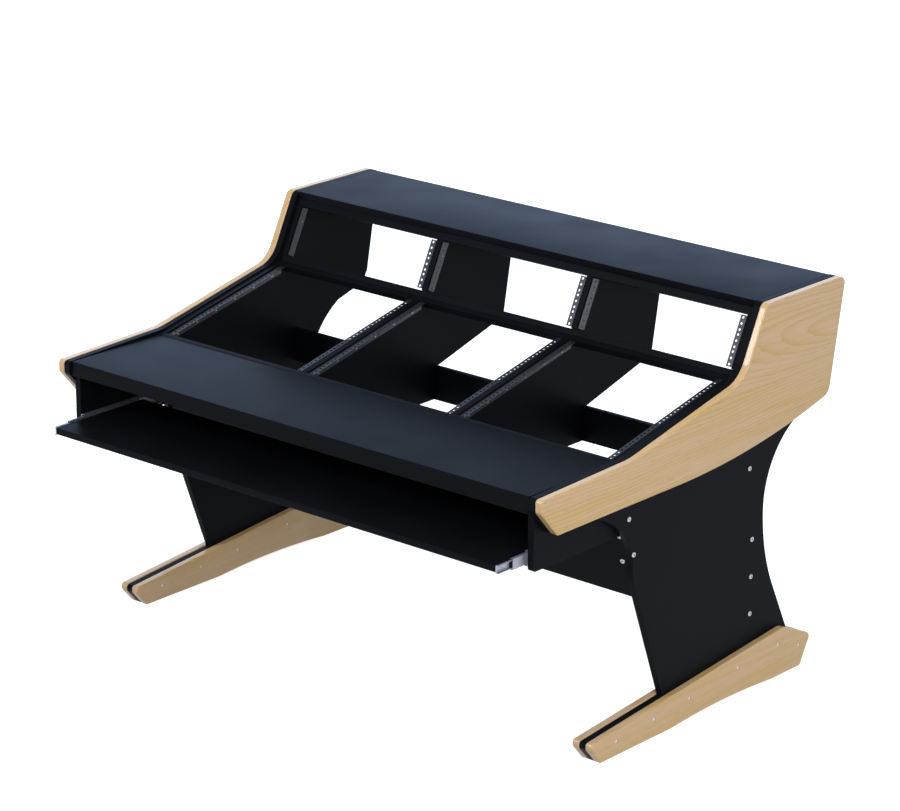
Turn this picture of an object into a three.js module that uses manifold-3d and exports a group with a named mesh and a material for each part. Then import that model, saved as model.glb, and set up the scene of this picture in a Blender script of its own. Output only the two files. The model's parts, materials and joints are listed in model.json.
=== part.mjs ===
// A three-bay studio desk: two side frames with wooden outer boards and sandwich feet, a worktop
// with a pull-out keyboard tray, ten rack units under a sloping deck, three more in a steep upper
// row, and a flat shelf on top. Millimetres. X runs to the right, Y to the back and Z up.
//
// The side profile is drawn in (y, z). Its datum is the front edge of the sloping rack deck, and
// the whole desk is moved at the end so that its origin is at the middle of its base.

import * as THREE from 'three';
import { mergeVertices } from 'three/addons/utils/BufferGeometryUtils.js';
import Module from 'manifold-3d';

const wasm = await Module();
wasm.setup();

// Rack standard and the bays made for it.
const rackUnitHeight = 44.45;
const rackPanelWidth = 482.6;
const rackEarWidth = 16.3;
const rackHoleInset = 8.75;
const rackHoleRadius = 3.4;
const rackHoleShares = [1 / 7, 1 / 2, 6 / 7];
const panelSideGap = 4;
const bayCount = 3;
const lowerUnits = 10;
const upperUnits = 3;

// Boards and general clearances.
const boardThickness = 18;
const woodThickness = 22;
const seatGap = 0.3;
const cutOverrun = 2;
const facetSag = 0.25;

// Worktop. Heights above the feet are counted from its surface.
const worktopHeight = 737.5;
const worktopReach = 326.7;
const worktopSideGap = 4.4;
const fasciaHeight = 38;

// Sloping deck, steep upper row and shelf.
const deckTilt = 12.23;
const deckStartHeight = 3.1;
const deckEndWidth = 21.1;
const deckPanelDrop = 362.5;
const upperTilt = 63.6;
const upperStartWidth = 20.3;
const upperEndWidth = 23.6;
const upperRailGap = 5;
const topRailWidth = 20;
const shelfThickness = 18;
const shelfDepth = 307;

// Keyboard tray, its compartment and its slides.
const compartmentSetback = 13;
const compartmentDrop = 191.5;
const compartmentCornerRadius = 9;
const trayDrop = 151.5;
const trayRearClearance = 18.8;
const trayOpenAtRest = 100;
const slideRearClearance = 26.8;
const slideWidth = 12.7;
const slideDrop = 1;
const slideMetalThickness = 1.2;
const outerMemberHeight = 38.5;
const outerMemberDepth = 9.6;
const middleMemberHeight = 29.5;
const middleMemberDepth = 8;
const innerMemberHeight = 20.5;
const cageLength = 120;
const cageStart = 88;
const cageMetalThickness = 0.6;
const cageBalls = 5;
const ballSides = 6;
const ballRings = 3;
const ballInset = 4;
const ballClearance = 0.3;

// Outer side board: nose, arm rest, slopes, rear edge and underside.
const noseReach = 7;
const noseFootDrop = 32.5;
const noseChamferRun = 59.7;
const noseTopRadius = 10;
const noseFootRadius = 15;
const armRestDrop = 0.3;
const armRestTilt = 1.6;
const armRestBendRadius = 220;
const deckEdgeProud = 3.6;
const upperEdgeProud = 12.4;
const valleyRadius = 90;
const topFrontRadius = 22;
const topRearRadius = 18;
const rearOverhang = 20.8;
const rearLean = 10.7;
const rearFootRadius = 50;
const undersideDrop = 101.5;
const undersideArcStart = 184.3;
const undersideArcSetback = 101.7;
const undersideRadius = 2400;
const boardEdgeRadius = 4;
const edgeFacets = 1;

// Leg: a leaning front edge that eases into an elliptic bracket, and a waisted rear edge. Its
// waists are counted down from the side board's underside.
const legFrontWaist = 38.5;
const legFrontLean = 20.3;
const legFrontCornerDrop = 203;
const legFrontEaseLength = 30;
const bracketReach = 228;
const bracketDrop = 178;
const legRearWaist = 566.8;
const legRearWaistDrop = 171;
const legRearLowerRadius = 496;
const legRearLowerSweep = 25.7;
const legRearUpperRadius = 238;
const legRearUpperSweep = 57.7;

// Foot: a core that is one with the leg, between two wooden cheeks.
const footSetback = 192;
const footRearSetback = 98.7;
const footNoseHeight = 42;
const footToeLength = 36;
const footTopAtFront = 59;
const footPeakHeight = 129.4;
const footPeakFromRear = 120.7;
const footRearHeight = 77.1;
const footRearUndercut = 43.7;
const footArchStart = 314;
const footArchRearSetback = 163.7;
const footArchHeight = 9;
const footNoseRadius = 12;
const footToeRadius = 6;
const footPeakRadius = 30;
const footRearRadius = 14;
const footCoreInset = 1;
const cheekEdgeRadius = 4;

// Hidden cross members between the side frames.
const rearRailInset = 64.1;
const rearRailTopHeight = 1;
const rearRailHeight = 92;
const crossPanelInset = 45.5;
const crossPanelFootHeight = 150;
const crossPanelHeight = 295;
const railHousing = 9;
const topBackRailSetback = 18;
const topBackRailHeight = 90;
const rackSideDrop = 186;
const rackBackSetback = 30;
const rackBackFootHeight = 76;

// Rack strips.
const stripMetalThickness = 2;
const stripDepth = 22;
const stripRecess = 4;
const stripHoleSides = 6;

// Fasteners. Places along a board are shares of its own size.
const legBoltHeadRadius = 6.6;
const legBoltHeadHeight = 2.2;
const legBoltShankRadius = 3;
const legBoltGripLength = 30;
const legBoltSocketRadius = 2.3;
const legBoltSocketDepth = 1.6;
const legBoltSides = 12;
const boltClearance = 0.8;
const deckPanelBoltDrops = [45.5, 142];
const deckPanelBoltInset = 6;
const ringBoltDrops = [98, 166];
const ringBoltInset = 4.2;
const crossPanelBoltShares = [0.16, 0.5, 0.84];
const footBoltHeadRadius = 5;
const footBoltShankRadius = 3;
const footBoltHeadHeight = 2.5;
const smallHoleSides = 6;
const footBoltPlaceShares = [
  [0.106, 0.298],
  [0.271, 0.375],
  [0.429, 0.452],
  [0.651, 0.6],
  [0.841, 0.677],
  [0.9415, 0.456],
];

// Finishes.
const blackBoard = { color: 0x222428, roughness: 0.55, metalness: 0 };
const greyRail = { color: 0x454853, roughness: 0.5, metalness: 0 };
const ashWood = { color: 0xc8af8e, roughness: 0.6, metalness: 0 };
const blackSteel = { color: 0x1a1b1d, roughness: 0.45, metalness: 0.4 };
const zincSteel = { color: 0xa9a9b1, roughness: 0.3, metalness: 1 };
const boltSteel = { color: 0xb4b4b8, roughness: 0.3, metalness: 1 };

// Widths across the desk, from the rack standard outwards.
const bayWidth = rackPanelWidth + 2 * panelSideGap;
const bayPitch = bayWidth + boardThickness;
const boxHalf = (bayCount * bayWidth + (bayCount - 1) * boardThickness) / 2;
const frameInner = boxHalf + boardThickness;
const frameOuter = frameInner + boardThickness;
const woodOuter = frameOuter + woodThickness;
const cheekInner = frameInner - woodThickness;

const quarterTurn = 90;
const halfTurn = 180;
const radians = THREE.MathUtils.degToRad;
const point = (y, z) => new THREE.Vector2(y, z);
const direction = (tilt) => point(Math.cos(radians(tilt)), Math.sin(radians(tilt)));
const outward = (tilt) => point(-Math.sin(radians(tilt)), Math.cos(radians(tilt)));

// The point that lies run along a line and rise off it.
function along(start, tilt, run, rise = 0) {
  return start.clone()
    .addScaledVector(direction(tilt), run)
    .addScaledVector(outward(tilt), rise);
}

// Where the line through a, at tilt tiltA, meets the line through b, at tilt tiltB.
function meet(a, tiltA, b, tiltB) {
  const lineA = direction(tiltA);
  const lineB = direction(tiltB);
  const run = b.clone().sub(a).cross(lineB) / lineA.cross(lineB);
  return along(a, tiltA, run);
}

// How many straight facets an arc needs.
function arcSteps(radius, sweep) {
  const facet = 2 * Math.acos(1 - facetSag / radius);
  return Math.max(1, Math.ceil(Math.abs(sweep) / facet));
}

// Points of a circular or elliptic arc, both ends included. Angles in degrees from +Y towards +Z.
function arc(centre, radiusY, radiusZ, from, to) {
  const sweep = radians(to - from);
  const steps = arcSteps(Math.max(radiusY, radiusZ), sweep);
  return Array.from({ length: steps + 1 }, (_, i) => {
    const angle = radians(from) + sweep * i / steps;
    return point(centre.x + radiusY * Math.cos(angle), centre.y + radiusZ * Math.sin(angle));
  });
}

// The rounded corner at a point between its two neighbours.
function roundCorner(before, at, after, radius) {
  if (!radius) return [at];
  const back = before.clone().sub(at).normalize();
  const on = after.clone().sub(at).normalize();
  const half = Math.acos(THREE.MathUtils.clamp(back.dot(on), -1, 1)) / 2;
  const room = Math.min(at.distanceTo(before), at.distanceTo(after)) / 2;
  const reach = Math.min(radius / Math.tan(half), room);
  const fitted = reach * Math.tan(half);
  const middle = back.clone().add(on).normalize();
  const centre = at.clone().addScaledVector(middle, fitted / Math.sin(half));
  const first = at.clone().addScaledVector(back, reach).sub(centre).angle();
  const last = at.clone().addScaledVector(on, reach).sub(centre).angle();
  const turn = Math.atan2(Math.sin(last - first), Math.cos(last - first));
  const steps = arcSteps(fitted, turn);
  return Array.from({ length: steps + 1 }, (_, i) => {
    const angle = first + turn * i / steps;
    return point(centre.x + fitted * Math.cos(angle), centre.y + fitted * Math.sin(angle));
  });
}

// A closed outline from corners written as [point, radius], where no radius keeps a corner sharp.
function outlineOf(corners) {
  return corners.flatMap(([at, radius = 0], i) => {
    const before = corners[(i + corners.length - 1) % corners.length][0];
    const after = corners[(i + 1) % corners.length][0];
    return roundCorner(before, at, after, radius);
  });
}

const plain = (points) => points.map((at) => [at]);

// A board whose outline is drawn in (y, z), between two places along X, with rounded edges if asked.
function board(outline, fromX, toX, edge = 0) {
  const geometry = new THREE.ExtrudeGeometry(new THREE.Shape(outline), {
    depth: toX - fromX - 2 * edge,
    bevelEnabled: edge > 0,
    bevelThickness: edge,
    bevelSize: edge,
    bevelOffset: -edge,
    bevelSegments: edgeFacets,
  });
  geometry.translate(0, 0, fromX + edge);
  geometry.applyMatrix4(new THREE.Matrix4().set(
    0, 0, 1, 0,
    1, 0, 0, 0,
    0, 1, 0, 0,
    0, 0, 0, 1,
  ));
  return geometry;
}

// A plain block between two corners.
function block(low, high) {
  const size = high.clone().sub(low);
  const middle = low.clone().add(high).multiplyScalar(1 / 2);
  return new THREE.BoxGeometry(size.x, size.y, size.z).translate(middle.x, middle.y, middle.z);
}

// A turned piece along X whose profile is written as [distance along X, radius].
function turned(profile, sides) {
  const points = profile.map(([x, radius]) => point(radius, x));
  return new THREE.LatheGeometry(points, sides).rotateZ(-Math.PI / 2);
}

function solidOf(geometry) {
  const bare = geometry.clone();
  bare.deleteAttribute('normal');
  bare.deleteAttribute('uv');
  const merged = mergeVertices(bare);
  return new wasm.Manifold(new wasm.Mesh({
    numProp: 3,
    vertProperties: new Float32Array(merged.attributes.position.array),
    triVerts: new Uint32Array(merged.index.array),
  }));
}

function geometryOf(solid) {
  const mesh = solid.getMesh();
  const geometry = new THREE.BufferGeometry();
  geometry.setAttribute('position', new THREE.BufferAttribute(mesh.vertProperties, 3));
  geometry.setIndex(new THREE.BufferAttribute(mesh.triVerts, 1));
  geometry.computeVertexNormals();
  return geometry;
}

// A geometry with others cut out of it.
function cut(geometry, tools) {
  const left = tools.reduce((rest, tool) => rest.subtract(solidOf(tool)), solidOf(geometry));
  return geometryOf(left);
}

// Geometries joined into one solid.
function join(geometries) {
  const [first, ...others] = geometries.map(solidOf);
  return geometryOf(others.reduce((sum, next) => sum.add(next), first));
}

// The mirror image of a geometry across the middle of the desk, with its faces still outwards.
function mirrored(geometry) {
  const copy = mergeVertices(geometry.clone()).toNonIndexed();
  const place = copy.attributes.position;
  for (let i = 0; i < place.count; i += 3) {
    const a = new THREE.Vector3().fromBufferAttribute(place, i);
    const b = new THREE.Vector3().fromBufferAttribute(place, i + 1);
    const c = new THREE.Vector3().fromBufferAttribute(place, i + 2);
    place.setXYZ(i, -a.x, a.y, a.z);
    place.setXYZ(i + 1, -c.x, c.y, c.z);
    place.setXYZ(i + 2, -b.x, b.y, b.z);
  }
  copy.computeVertexNormals();
  return copy;
}

const desk = new THREE.Group();

function add(name, geometry, finish, parent = desk) {
  const mesh = new THREE.Mesh(geometry, new THREE.MeshStandardMaterial(finish));
  mesh.name = name;
  parent.add(mesh);
  return mesh;
}

// A piece of the right-hand side and its mirror image on the left.
function addPair(name, geometry, finish) {
  add(`${name}_right`, geometry, finish);
  add(`${name}_left`, mirrored(geometry), finish);
}

// Main lines of the side profile.
const worktopFront = -worktopReach;
const compartmentFront = worktopFront + compartmentSetback;
const noseFront = worktopFront - noseReach;
const footFront = worktopFront + footSetback;
const underside = worktopHeight - undersideDrop;
const deckStart = point(0, worktopHeight + deckStartHeight);
const valley = along(deckStart, deckTilt, lowerUnits * rackUnitHeight + deckEndWidth);
const upperStart = along(valley, upperTilt, upperStartWidth);
const upperEnd = along(upperStart, upperTilt, upperUnits * rackUnitHeight + upperEndWidth);
const shelfFront = upperEnd.x;
const shelfUnder = upperEnd.y;
const shelfHeight = shelfUnder + shelfThickness;
const shelfRear = shelfFront + shelfDepth;
const sideRear = shelfRear + rearOverhang;
const footRear = sideRear - footRearSetback;
const footLength = footRear - footFront;
const deckPanelFront = along(deckStart, deckTilt, -boardThickness);
const downPanel = deckTilt - quarterTurn;

// The place inside the deck panel at a height.
const deckPanelCore = (height) => meet(
  along(deckPanelFront, deckTilt, deckPanelBoltInset), downPanel, point(0, height), 0);

// Outline of the outer side board, which the side frame repeats above its leg.
function sideOutline() {
  const deckEdge = along(deckStart, deckTilt, 0, deckEdgeProud);
  const upperEdge = along(valley, upperTilt, 0, upperEdgeProud);
  const armRest = point(noseFront, worktopHeight - armRestDrop);
  const topRear = point(sideRear, shelfHeight);
  const arcCentre = point(undersideArcStart, underside + undersideRadius);
  const arcLength = sideRear - undersideArcSetback - undersideArcStart;
  const arcSweep = THREE.MathUtils.radToDeg(Math.asin(arcLength / undersideRadius));
  const belly = arc(arcCentre, undersideRadius, undersideRadius, -quarterTurn, arcSweep - quarterTurn);
  const rearFoot = meet(belly[belly.length - 1], arcSweep, topRear, quarterTurn - rearLean);
  return outlineOf([
    [point(noseFront, worktopHeight - noseFootDrop), noseFootRadius],
    [point(noseFront + noseChamferRun, underside), noseFootRadius],
    ...plain(belly),
    [rearFoot, rearFootRadius],
    [topRear, topRearRadius],
    [meet(upperEdge, upperTilt, topRear, 0), topFrontRadius],
    [meet(deckEdge, deckTilt, upperEdge, upperTilt), valleyRadius],
    [meet(armRest, armRestTilt, deckEdge, deckTilt), armRestBendRadius],
    [armRest, noseTopRadius],
  ]);
}

// Outline of the foot. The core between the cheeks is drawn in by a small inset.
function footOutline(inset) {
  const archStart = footFront + footArchStart;
  const archEnd = footRear - footArchRearSetback;
  const archHalf = 2 * Math.atan(2 * footArchHeight / (archEnd - archStart));
  const archRadius = (archEnd - archStart) / 2 / Math.sin(archHalf);
  const archCentre = point((archStart + archEnd) / 2, footArchHeight - archRadius);
  const archTilt = THREE.MathUtils.radToDeg(archHalf);
  const arch = arc(archCentre, archRadius, archRadius, quarterTurn + archTilt, quarterTurn - archTilt);
  arch[0] = point(archStart, 0);
  arch[arch.length - 1] = point(archEnd, 0);
  return outlineOf([
    [point(footFront + inset, footNoseHeight), footNoseRadius],
    [point(footFront + footToeLength + inset, 0), footToeRadius],
    ...plain(arch),
    [point(footRear - footRearUndercut - inset, 0), footToeRadius],
    [point(footRear - inset, footRearHeight), footRearRadius],
    [point(footRear - footPeakFromRear, footPeakHeight - inset), footPeakRadius],
    [point(footFront + inset, footTopAtFront - inset), footNoseRadius],
  ]);
}

// Outline of the leg between the foot and the side board's underside.
function legOutline() {
  const footInside = point(0, footPeakHeight / 2);
  const boardInside = point(0, worktopHeight - noseFootDrop);
  const frontCorner = point(legFrontWaist, underside - legFrontCornerDrop);
  const frontTilt = quarterTurn + legFrontLean;
  const bracketCentre = point(legFrontWaist - bracketReach, underside - bracketDrop);
  const bracket = arc(bracketCentre, bracketReach, bracketDrop, 0, quarterTurn);
  const easeStart = along(frontCorner, frontTilt, -legFrontEaseLength);
  const ease = new THREE.QuadraticBezierCurve(easeStart, frontCorner, bracket[0]).getPoints(6);
  const rearWaist = underside - legRearWaistDrop;
  const lowerCentre = point(legRearWaist + legRearLowerRadius, rearWaist);
  const upperCentre = point(legRearWaist + legRearUpperRadius, rearWaist);
  const lower = arc(
    lowerCentre, legRearLowerRadius, legRearLowerRadius, halfTurn, halfTurn + legRearLowerSweep);
  const upper = arc(
    upperCentre, legRearUpperRadius, legRearUpperRadius, halfTurn - legRearUpperSweep, halfTurn);
  return [
    meet(frontCorner, frontTilt, footInside, 0),
    ...ease,
    ...bracket.slice(1),
    point(bracketCentre.x, boardInside.y),
    meet(upper[0], quarterTurn - legRearUpperSweep, boardInside, 0),
    ...upper,
    ...lower.slice(1),
    meet(lower[lower.length - 1], quarterTurn + legRearLowerSweep, footInside, 0),
  ];
}

// Bolts through the side frame, as places in (y, z).
const rearRailY = legRearWaist - rearRailInset;
const rearRailTop = underside + rearRailTopHeight;
const crossPanelY = legRearWaist - crossPanelInset;
const legBoltPlaces = [
  ...deckPanelBoltDrops.map((drop) => deckPanelCore(underside - drop)),
  point(rearRailY, rearRailTop - rearRailHeight / 2),
  ...crossPanelBoltShares.map(
    (share) => point(crossPanelY, crossPanelFootHeight + share * crossPanelHeight)),
];
const footBoltPlaces = footBoltPlaceShares.map(
  ([ahead, up]) => point(footFront + ahead * footLength, up * footPeakHeight));

// A round hole along X at a place in (y, z).
function holeAlongX(place, fromX, toX, radius) {
  const hole = new THREE.CylinderGeometry(radius, radius, toX - fromX, smallHoleSides).rotateZ(Math.PI / 2);
  return hole.translate((fromX + toX) / 2, place.x, place.y);
}

const legBoltHoleEnd = frameInner - legBoltGripLength - boltClearance;
const legBoltHoles = () => legBoltPlaces.map(
  (place) => holeAlongX(place, legBoltHoleEnd, frameOuter + cutOverrun, legBoltShankRadius + boltClearance));

// Side frames: one routed sheet from nose to foot.
function sideFrame() {
  const upper = board(sideOutline(), frameInner, frameOuter);
  const leg = board(legOutline(), frameInner, frameOuter);
  const foot = board(footOutline(footCoreInset), frameInner, frameOuter);
  const footHoles = footBoltPlaces.map((place) => holeAlongX(
    place, frameInner - cutOverrun, frameOuter + cutOverrun, footBoltShankRadius + boltClearance));
  return cut(join([upper, leg, foot]), [...legBoltHoles(), ...footHoles]);
}

addPair('side_frame', sideFrame(), blackBoard);
addPair('side_board', board(sideOutline(), frameOuter + seatGap, woodOuter, boardEdgeRadius), ashWood);

// Foot cheeks: a rounded board on each face of the core, counterbored for the bolt heads.
function footCheek(fromX, toX, headX, inwards) {
  const holes = footBoltPlaces.flatMap((place) => {
    const seat = headX + inwards * (footBoltHeadHeight + boltClearance);
    const open = headX - inwards * cutOverrun;
    return [
      holeAlongX(place, fromX - cutOverrun, toX + cutOverrun, footBoltShankRadius + boltClearance),
      holeAlongX(place, Math.min(seat, open), Math.max(seat, open), footBoltHeadRadius + boltClearance),
    ];
  });
  return cut(board(footOutline(0), fromX, toX, cheekEdgeRadius), holes);
}

addPair('foot_cheek_outer', footCheek(frameOuter + seatGap, woodOuter, woodOuter, -1), ashWood);
addPair('foot_cheek_inner', footCheek(cheekInner, frameInner - seatGap, cheekInner, 1), ashWood);

// Leg bolts: flat round heads with a hexagon socket, gripping the ends of the cross members.
function flatHeadBolt(headX, length) {
  const bolt = turned([
    [headX - length, 0],
    [headX - length, legBoltShankRadius],
    [headX, legBoltShankRadius],
    [headX, legBoltHeadRadius],
    [headX + legBoltHeadHeight, legBoltHeadRadius - legBoltHeadHeight / 2],
    [headX + legBoltHeadHeight, 0],
  ], legBoltSides);
  const socketLength = 2 * legBoltSocketDepth;
  const socket = new THREE.CylinderGeometry(legBoltSocketRadius, legBoltSocketRadius, socketLength, 6)
    .rotateZ(Math.PI / 2)
    .translate(headX + legBoltHeadHeight, 0, 0);
  return cut(bolt, [socket]);
}

const legBolt = flatHeadBolt(frameOuter + seatGap, boardThickness + legBoltGripLength);
legBoltPlaces.forEach((place, i) => {
  addPair(`leg_bolt_${i + 1}`, legBolt.clone().translate(0, place.x, place.y), boltSteel);
});

// Worktop: a board with a mitred front fascia, cut at the back to the slope of the deck panel.
function worktop() {
  const half = frameInner - worktopSideGap;
  const panelFace = along(deckPanelFront, deckTilt, -seatGap);
  const boardUnder = worktopHeight - boardThickness;
  return board([
    point(worktopFront, worktopHeight - fasciaHeight),
    point(worktopFront + boardThickness, worktopHeight - fasciaHeight),
    point(worktopFront + boardThickness, boardUnder),
    meet(point(0, boardUnder), 0, panelFace, downPanel),
    meet(point(0, worktopHeight), 0, panelFace, downPanel),
    point(worktopFront, worktopHeight),
  ], -half, half);
}

add('worktop', worktop(), blackBoard);

// Deck panel: the sloping cross panel under the front edge of the racks.
function deckPanel() {
  const half = frameInner - seatGap;
  const foot = point(0, worktopHeight - deckPanelDrop);
  const panel = board([
    deckPanelFront,
    meet(deckPanelFront, downPanel, foot, 0),
    meet(deckStart, downPanel, foot, 0),
    deckStart,
  ], -half, half);
  return cut(panel, [...legBoltHoles(), ...legBoltHoles().map(mirrored), ...ringBoltHoles()]);
}

// Holes for the bolts through the deck panel's face into the front edges of the rack sides.
function ringBoltHoles() {
  return ringBoltDrops.flatMap((drop) => [-1, 1].map((side) => {
    const at = meet(deckPanelFront, downPanel, point(0, underside - drop), 0);
    const turn = new THREE.Matrix4().makeRotationX(radians(deckTilt));
    const x = side * (boxHalf + ringBoltInset);
    const move = new THREE.Matrix4().makeTranslation(x, at.x, at.y).multiply(turn);
    const length = 2 * boardThickness + boltClearance + cutOverrun;
    const radius = legBoltShankRadius + boltClearance;
    const hole = new THREE.CylinderGeometry(radius, radius, length, smallHoleSides);
    hole.translate(0, length / 2 - cutOverrun, 0);
    return hole.applyMatrix4(move);
  }));
}

add('deck_panel', deckPanel(), blackBoard);

// Sides of the tray compartment, notched under the fascia.
function traySide() {
  const panelFace = along(deckPanelFront, deckTilt, -seatGap);
  const head = worktopHeight - boardThickness - seatGap;
  const fasciaFoot = worktopHeight - fasciaHeight - seatGap;
  const fasciaBack = worktopFront + boardThickness + seatGap;
  const foot = worktopHeight - compartmentDrop;
  return board(outlineOf([
    [point(compartmentFront, foot), compartmentCornerRadius],
    [meet(point(0, foot), 0, panelFace, downPanel)],
    [meet(point(0, head), 0, panelFace, downPanel)],
    [point(fasciaBack, head)],
    [point(fasciaBack, fasciaFoot)],
    [point(compartmentFront, fasciaFoot)],
  ]), boxHalf, frameInner - seatGap);
}

addPair('tray_side', traySide(), blackBoard);

// Profile of the boards that carry the racks: behind the deck panel, under the deck's two slopes
// and the shelf, and over the rear rail.
function rackProfile(foot) {
  const panelBack = along(deckStart, deckTilt, seatGap);
  const shelfSeat = shelfUnder - seatGap;
  const railFront = rearRailY - boardThickness / 2 - seatGap;
  const backTop = sideRear - rackBackSetback;
  const backFoot = meet(
    point(backTop, shelfSeat), quarterTurn - rearLean, point(0, underside + rackBackFootHeight), 0);
  return [
    panelBack,
    meet(panelBack, downPanel, point(0, foot), 0),
    point(railFront, foot),
    point(railFront, rearRailTop + seatGap),
    point(rearRailY + boardThickness / 2, rearRailTop + seatGap),
    backFoot,
    point(backTop, shelfSeat),
    meet(valley, upperTilt, point(0, shelfSeat), 0),
    valley,
  ];
}

// The two rails that cross the racks, as sections in (y, z).
function midRailSection() {
  const start = along(valley, deckTilt, 2 * seatGap - deckEndWidth);
  const end = along(upperStart, upperTilt, -upperRailGap);
  const startBack = along(start, deckTilt, 0, -boardThickness);
  const endBack = along(end, upperTilt, 0, -boardThickness);
  return [start, valley, end, endBack, meet(startBack, deckTilt, endBack, upperTilt), startBack];
}

function topRailSection() {
  const end = meet(valley, upperTilt, point(0, shelfUnder - seatGap), 0);
  const start = along(end, upperTilt, -topRailWidth);
  const startBack = along(start, upperTilt, 0, -boardThickness);
  const endBack = meet(startBack, upperTilt, end, 0);
  return [start, end, endBack, startBack];
}

// A section grown by the seating gap, used to notch a board that a rail passes.
function grown(section) {
  const middle = section.reduce((sum, at) => sum.add(at), point(0, 0)).divideScalar(section.length);
  return section.map((at) => at.clone().addScaledVector(at.clone().sub(middle).normalize(), 2 * seatGap));
}

function backRailSection() {
  const back = sideRear - rackBackSetback - topBackRailSetback;
  const top = shelfUnder - seatGap;
  const foot = shelfUnder - topBackRailHeight;
  return [
    point(back - boardThickness, foot),
    point(back, foot),
    point(back, top),
    point(back - boardThickness, top),
  ];
}

const crossRails = {
  mid_rail: { section: midRailSection(), finish: greyRail },
  top_rail: { section: topRailSection(), finish: greyRail },
  top_back_rail: { section: backRailSection(), finish: blackBoard },
};

// Rack sides reach down behind the deck panel, and the rails are let into half their thickness.
function rackSide() {
  const sheet = board(rackProfile(underside - rackSideDrop), boxHalf, frameInner - seatGap);
  const housings = Object.values(crossRails).map(
    ({ section }) => board(grown(section), boxHalf - cutOverrun, boxHalf + railHousing));
  return cut(sheet, [...ringBoltHoles(), ...legBoltHoles(), ...housings]);
}

// Dividers stop higher and are notched right through for the rails.
function divider() {
  const sheet = board(rackProfile(rearRailTop - rearRailHeight), -boardThickness / 2, boardThickness / 2);
  const notches = Object.values(crossRails).map(
    ({ section }) => board(grown(section), -boardThickness, boardThickness));
  return cut(sheet, notches);
}

addPair('rack_side', rackSide(), blackBoard);
const dividerSheet = divider();
for (let i = 1; i < bayCount; i += 1) {
  const middle = (i - bayCount / 2) * bayPitch;
  add(`divider_${i}`, dividerSheet.clone().translate(middle, 0, 0), blackBoard);
}

for (const [name, { section, finish }] of Object.entries(crossRails)) {
  const half = boxHalf + railHousing - seatGap;
  add(name, board(section, -half, half), finish);
}

// Shelf on top, between the side frames.
const shelfHalf = frameInner - seatGap;
add('top_shelf', block(
  new THREE.Vector3(-shelfHalf, shelfFront, shelfUnder),
  new THREE.Vector3(shelfHalf, shelfRear, shelfHeight)), blackBoard);

// Cross members at the back, bolted between the side frames.
function crossMember(middleY, foot, height) {
  const member = block(
    new THREE.Vector3(-shelfHalf, middleY - boardThickness / 2, foot),
    new THREE.Vector3(shelfHalf, middleY + boardThickness / 2, foot + height));
  return cut(member, [...legBoltHoles(), ...legBoltHoles().map(mirrored)]);
}

add('rear_rail', crossMember(
  rearRailY, rearRailTop - rearRailHeight, rearRailHeight), blackBoard);
add('rear_cross_panel', crossMember(
  crossPanelY, crossPanelFootHeight, crossPanelHeight), blackBoard);

// Rack strips: steel angles with a row of holes on the rack standard, set just under the surface.
function rackStrip(units) {
  const length = units * rackUnitHeight;
  const wall = bayWidth / 2 - seatGap;
  const lip = rackPanelWidth / 2 - rackEarWidth;
  const face = new THREE.Shape([
    point(lip, 0), point(wall, 0), point(wall, length), point(lip, length),
  ]);
  for (let unit = 0; unit < units; unit += 1) {
    for (const share of rackHoleShares) {
      const middle = point(rackPanelWidth / 2 - rackHoleInset, (unit + share) * rackUnitHeight);
      const rim = Array.from({ length: stripHoleSides }, (_, i) => {
        const angle = 2 * Math.PI * (i + 1 / 2) / stripHoleSides;
        return point(middle.x + rackHoleRadius * Math.cos(angle), middle.y - rackHoleRadius * Math.sin(angle));
      });
      face.holes.push(new THREE.Path(rim));
    }
  }
  const flange = new THREE.ExtrudeGeometry(face, { depth: stripMetalThickness, bevelEnabled: false });
  flange.translate(0, 0, -stripRecess - stripMetalThickness);
  const web = block(
    new THREE.Vector3(wall - stripMetalThickness, 0, -stripRecess - stripDepth),
    new THREE.Vector3(wall, length, -stripRecess));
  return join([flange, web]);
}

// A rack's turned group carries two strips in each bay.
function addStrips(name, start, tilt, units) {
  const rack = new THREE.Group();
  rack.position.set(0, start.x, start.y);
  rack.rotation.x = radians(tilt);
  desk.add(rack);
  const right = rackStrip(units);
  const left = mirrored(right);
  for (let bay = 0; bay < bayCount; bay += 1) {
    const middle = (bay - (bayCount - 1) / 2) * bayPitch;
    add(`${name}_strip_${bay + 1}_left`, left, blackSteel, rack).position.x = middle;
    add(`${name}_strip_${bay + 1}_right`, right, blackSteel, rack).position.x = middle;
  }
}

addStrips('lower', along(deckStart, deckTilt, seatGap), deckTilt, lowerUnits);
addStrips('upper', upperStart, upperTilt, upperUnits);

// Keyboard tray at its place at rest, part of the way out.
const trayFront = compartmentFront - trayOpenAtRest;
const trayHalf = boxHalf - slideWidth - 2 * seatGap;
const trayTop = worktopHeight - trayDrop;
const slideCentre = trayTop - boardThickness / 2 - slideDrop;
const roomBehind = (height) => meet(deckPanelFront, downPanel, point(0, height), 0).x - compartmentFront;
const trayDepth = roomBehind(trayTop) - trayRearClearance;
const slideLength = roomBehind(slideCentre + outerMemberHeight / 2) - slideRearClearance;
add('keyboard_tray', block(
  new THREE.Vector3(-trayHalf, trayFront, trayTop - boardThickness),
  new THREE.Vector3(trayHalf, trayFront + trayDepth, trayTop)), blackBoard);

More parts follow.
